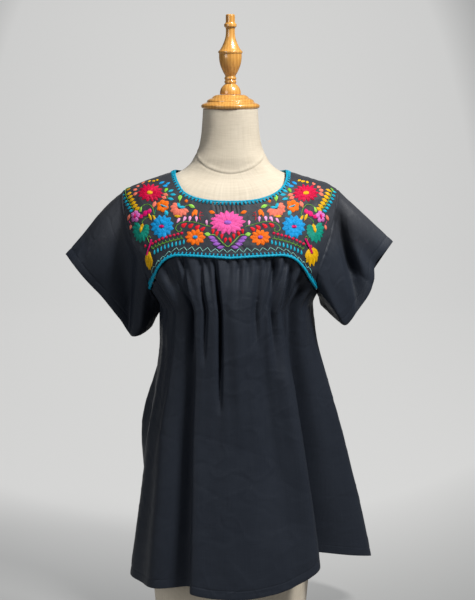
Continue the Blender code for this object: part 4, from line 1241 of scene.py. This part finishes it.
def edgings():
    """The neck's and the yoke's corded edges, their teeth, and the zigzag over the yoke's edge."""
    theta, z = yoke_places(EDGE_COLUMNS, (0.0, 0.02, 0.98, 1.0))
    p = figure_point(FIGURE, theta, z)
    out = outward_at(theta, z)

    neck = p[:, 0] + unit(p[:, 0] - p[:, 1]) * (TRIM_RADIUS + TRIM_GAP - 0.0006)
    places = even(neck, CORD_STEP, True)
    line, normal = sample(neck, places, True), sample(out[:, 0], places, True)
    neck_trim = rope("neck_edging", line, normal, TRIM_RADIUS, True)
    work = Stitches()
    places = even(p[:, 0], 0.0064, True)
    edge, into = ([sample(v[:, k], places, True) for v in (theta, z)] for k in (0, 1))
    teeth(work, edge, into, 0.0044, 0.0032, 0.0016)
    neck_teeth = work.build("neck_teeth")

    order = np.arange(-EDGE_COLUMNS[0], EDGE_COLUMNS[0] + 1)  # the front edge, from its -X tip to its +X tip
    lower, normal = p[order, 3], out[order, 3]
    line = lower + normal * 0.0016
    places = even(line, CORD_STEP, False)
    line, normal = sample(line, places, False)[2:-2], sample(normal, places, False)[2:-2]
    yoke_trim = rope("yoke_edging", line, normal, 0.0023, False, 0.006, 0.8)
    work = Stitches()
    places = even(lower, 0.0068, False)
    edge, into = ([sample(v[order, k], places, False) for v in (theta, z)] for k in (3, 2))
    far = np.minimum(np.arange(len(places)), np.arange(len(places))[::-1]) * 0.0068
    for chosen, size in ((far >= 0.040, 0.0062), (far < 0.040, 0.0100)):  # longer towards the underarms
        teeth(work, [v[chosen] for v in edge], [v[chosen] for v in into], size, 0.0024, 0.0015)

    # zigzag: one thread a side, between two lines that follow the yoke's edge
    places = even(lower, 0.0071, False)[4:-4]
    edge, into = ([sample(v[order, k], places, False) for v in (theta, z)] for k in (3, 2))
    distance = np.where(np.arange(len(places)) % 2 == 0, 0.0085, 0.0150)
    distance = distance + 0.006 * smooth_step((np.abs(edge[0]) - 0.62) / 0.15)
    distance = distance + work.random.uniform(-0.0006, 0.0006, len(places))
    corners = inwards(edge, into, distance[:, None])
    t = np.linspace(0, 1, 6)[None, :]
    arch = np.sin(math.pi * np.clip(t, 0.05, 0.95))
    turns, heights = (v[:-1] + (v[1:] - v[:-1]) * t for v in corners)
    strand, way = on_yoke(turns, heights, 0.0001 + 0.0007 * arch + 0 * turns)
    wide = 0.0010 * (0.5 + 0.5 * arch) + 0 * turns
    work.add(strand, way, wide, 0.0005 + 0 * wide, "mint")
    return neck_trim, neck_teeth, yoke_trim, work.build("yoke_border_stitches")


# ---------------------------------------------------------------- the figure inside and its wood
NECK_TOP = FORM[0, 0]


def linen_figure():
    """The covered figure, with the seam round the base of its neck and a seam down each side."""
    theta = np.linspace(-math.pi, math.pi, 240, endpoint=False)[:, None]
    z = np.concatenate([np.linspace(NECK_TOP, 0.77, 110), np.linspace(0.77, 0, 90)[1:]])[None, :]
    grid = figure_point(FORM, theta + 0 * z, z + 0 * theta)
    around = np.roll(grid, -1, axis=0) - np.roll(grid, 1, axis=0)
    out = unit(np.stack([around[..., 1], -around[..., 0], 0 * around[..., 0]], axis=-1))
    seam_z = 0.794 + 0.036 * (np.sin(theta / 2) ** 2 * 0.45 + np.abs(np.sin(theta)) ** 1.6 * 0.75)
    groove = -0.0008 * bell(z - seam_z, 0.0014) + 0.0006 * bell(z - seam_z - 0.0035, 0.0030)
    side = np.abs(np.abs(theta) - math.pi / 2) * 0.12
    groove = groove - 0.0006 * bell(side, 0.0012) * (z < seam_z)
    soft = 0.0002 * noise(theta * 0.1 / 0.05, z / 0.05, 71)
    soft = soft - 0.006 * bell(z - 0.56, 0.09)  # drawn in under the deepest folds of the cloth
    points = grid + out * (groove + soft)[..., None]
    top = points[:, :1] * np.array([0.2, 0.2, 1.0])
    foot = points[:, -1:] * np.array([0.02, 0.02, 1.0])
    return np.concatenate([top, points, foot], axis=1)


def turned(name, profile, bottom):
    """A finely turned piece: the profile's curve drawn smoothly, with short facets kept at its fillets."""
    at = run(profile)
    want = np.sort(np.concatenate([np.linspace(0, at[-1], 110), at]))
    want = want[np.concatenate([[True], np.diff(want) > 1e-6])]
    radius, height = (through(at, values, want) for values in profile.T)
    radius = np.concatenate([[0.0005], radius, [0.0005]])
    height = np.concatenate([[height[0]], height, [height[-1]]])
    turn = np.linspace(0, 2 * math.pi, 96, endpoint=False)[:, None]
    grid = np.stack([np.cos(turn) * radius, np.sin(turn) * radius, bottom + height + 0 * turn], axis=-1)
    return grid_object(name, grid, True, WOOD)


# ---------------------------------------------------------------- all the pieces
def build():
    """Makes every piece, and says what it rides on, what it replaces and what it is made of."""
    made = {}
    front = body_cloth(-90.25, 90.25, 330, 190)
    back = body_cloth(89.75, 270.25, 220, 120)
    yoke = yoke_cloth((96, 48, 36, 42), 56)
    left, right = sleeve_cloth("left", 220, 90), sleeve_cloth("right", 220, 90)
    made["body_front"] = grid_object("front_panel", front, False, BLACK, outward=(0, 0, 0.4))
    made["body_back"] = grid_object("back_panel", back, False, BLACK, outward=(0, 0, 0.4))
    made["yoke"] = grid_object("yoke_cloth", yoke, True, BLACK, outward=(0, 0, 0.6))
    made["sleeve_left"] = grid_object("left_sleeve", left, True, BLACK)
    made["sleeve_right"] = grid_object("right_sleeve", right, True, BLACK)
    made["form_body"] = grid_object("linen_figure", linen_figure(), True, LINEN, outward=(0, 0, 0.4))
    made["neck_cap"] = turned("neck_cap_wood", CAP_PROFILE, NECK_TOP + WOOD_GAP)
    cap_top = NECK_TOP + 2 * WOOD_GAP + CAP_PROFILE[-1, 1]
    made["neck_finial"] = turned("neck_finial_wood", FINIAL_PROFILE, cap_top)
    neck_trim, neck_teeth, yoke_trim, border = edgings()
    made["neck_trim"], made["yoke_trim"] = neck_trim, yoke_trim
    work = {name: Stitches() for name in ("embroidery_left", "embroidery_right", "embroidery_middle")}
    embroider_half(work["embroidery_left"], -1)
    embroider_half(work["embroidery_right"], 1)
    embroider_middle(work["embroidery_middle"])
    extra = [neck_teeth, border] + [w.build(name) for name, w in work.items()]
    for node, piece in made.items():
        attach(piece, "root")
        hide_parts(node)
    for piece in extra:
        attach(piece, "root")


build()


# ---------------------------------------------------------------- camera, room and light
def add_light(name, place, target, size, power, tint, size_y):
    lamp = bpy.data.lights.new(name, "AREA")
    lamp.shape, lamp.size, lamp.size_y = "RECTANGLE", size, size_y
    lamp.energy, lamp.color = power, tint
    made = bpy.data.objects.new(name, lamp)
    bpy.context.scene.collection.objects.link(made)
    made.location = place
    way = np.array(target, float) - np.array(place, float)
    made.rotation_mode = "XYZ"
    flat = math.hypot(way[0], way[1])
    made.rotation_euler = (math.atan2(flat, -way[2]), 0, math.atan2(way[1], way[0]) - math.pi / 2)
    return made


def room():
    """A floor that curves up into the wall behind. It glows with painted light: pale in a broad pool behind the
    figure, darker towards its edges.
    """
    turn = np.linspace(0, math.pi / 2, 24)
    y = np.concatenate([[-3.2, 2.4], 3.0 + 1.2 * np.sin(turn), [4.2]])
    z = np.concatenate([[0.0, 0.0], 1.2 - 1.2 * np.cos(turn), [6.0]])
    x = np.array([[-6.0], [6.0]])
    grid = np.stack(np.broadcast_arrays(x, y, z - 0.0005), axis=-1)
    s = Shader("glowing_backdrop")
    # painted light: the backdrop's emission is a bright pool centred behind the figure that falls off to dark at
    # the edges, standing in for how the lamps light it
    middle, scale = (0.0215, -0.60, -0.21), (0.43, 0.20, 0.35)
    place = s.node("ShaderNodeMapping", {"Vector": s.place("Object")}, Location=middle, Scale=scale)
    glow = s.node("ShaderNodeTexGradient", {"Vector": place.outputs[0]}, gradient_type="SPHERICAL")
    stops = (
        (0.0, (0.05, 0.05, 0.05, 1)),
        (0.18, (0.08, 0.08, 0.08, 1)),
        (0.32, (0.24, 0.245, 0.245, 1)),
        (0.45, (0.56, 0.56, 0.555, 1)),
        (1.0, (0.64, 0.64, 0.63, 1)),
    )
    s.link(s.ramp(glow.outputs[1], stops), "Emission Color")
    s.set(Base_Color=(0.10, 0.10, 0.10, 1), Roughness=0.9, Emission_Strength=1.0)
    floor = grid_object("backdrop", grid, False, s.material, outward=(0, 5, -5))


room()
camera = bpy.data.objects.new("camera", bpy.data.cameras.new("camera"))
bpy.context.scene.collection.objects.link(camera)
camera.data.lens, camera.data.sensor_width = 78, 36
camera.location, camera.rotation_euler = (0.0124, -2.3, 0.95), (math.radians(80.5), 0, 0)
bpy.context.scene.camera = camera

add_light("key", (1.2, -1.0, 2.75), (0, 0, 0.6), 0.5, 122, (1.0, 0.99, 0.96), 0.7)
add_light("fill", (-1.9, -2.0, 1.5), (0, 0, 0.5), 1.2, 22, (0.96, 0.98, 1.0), 1.4)

world = bpy.data.worlds.new("room_light")
bpy.context.scene.world = world
world.use_nodes = True
world.node_tree.nodes["Background"].inputs[0].default_value = (0.80, 0.86, 0.95, 1)
world.node_tree.nodes["Background"].inputs[1].default_value = 0.05
bpy.context.scene.view_settings.view_transform = "Standard"
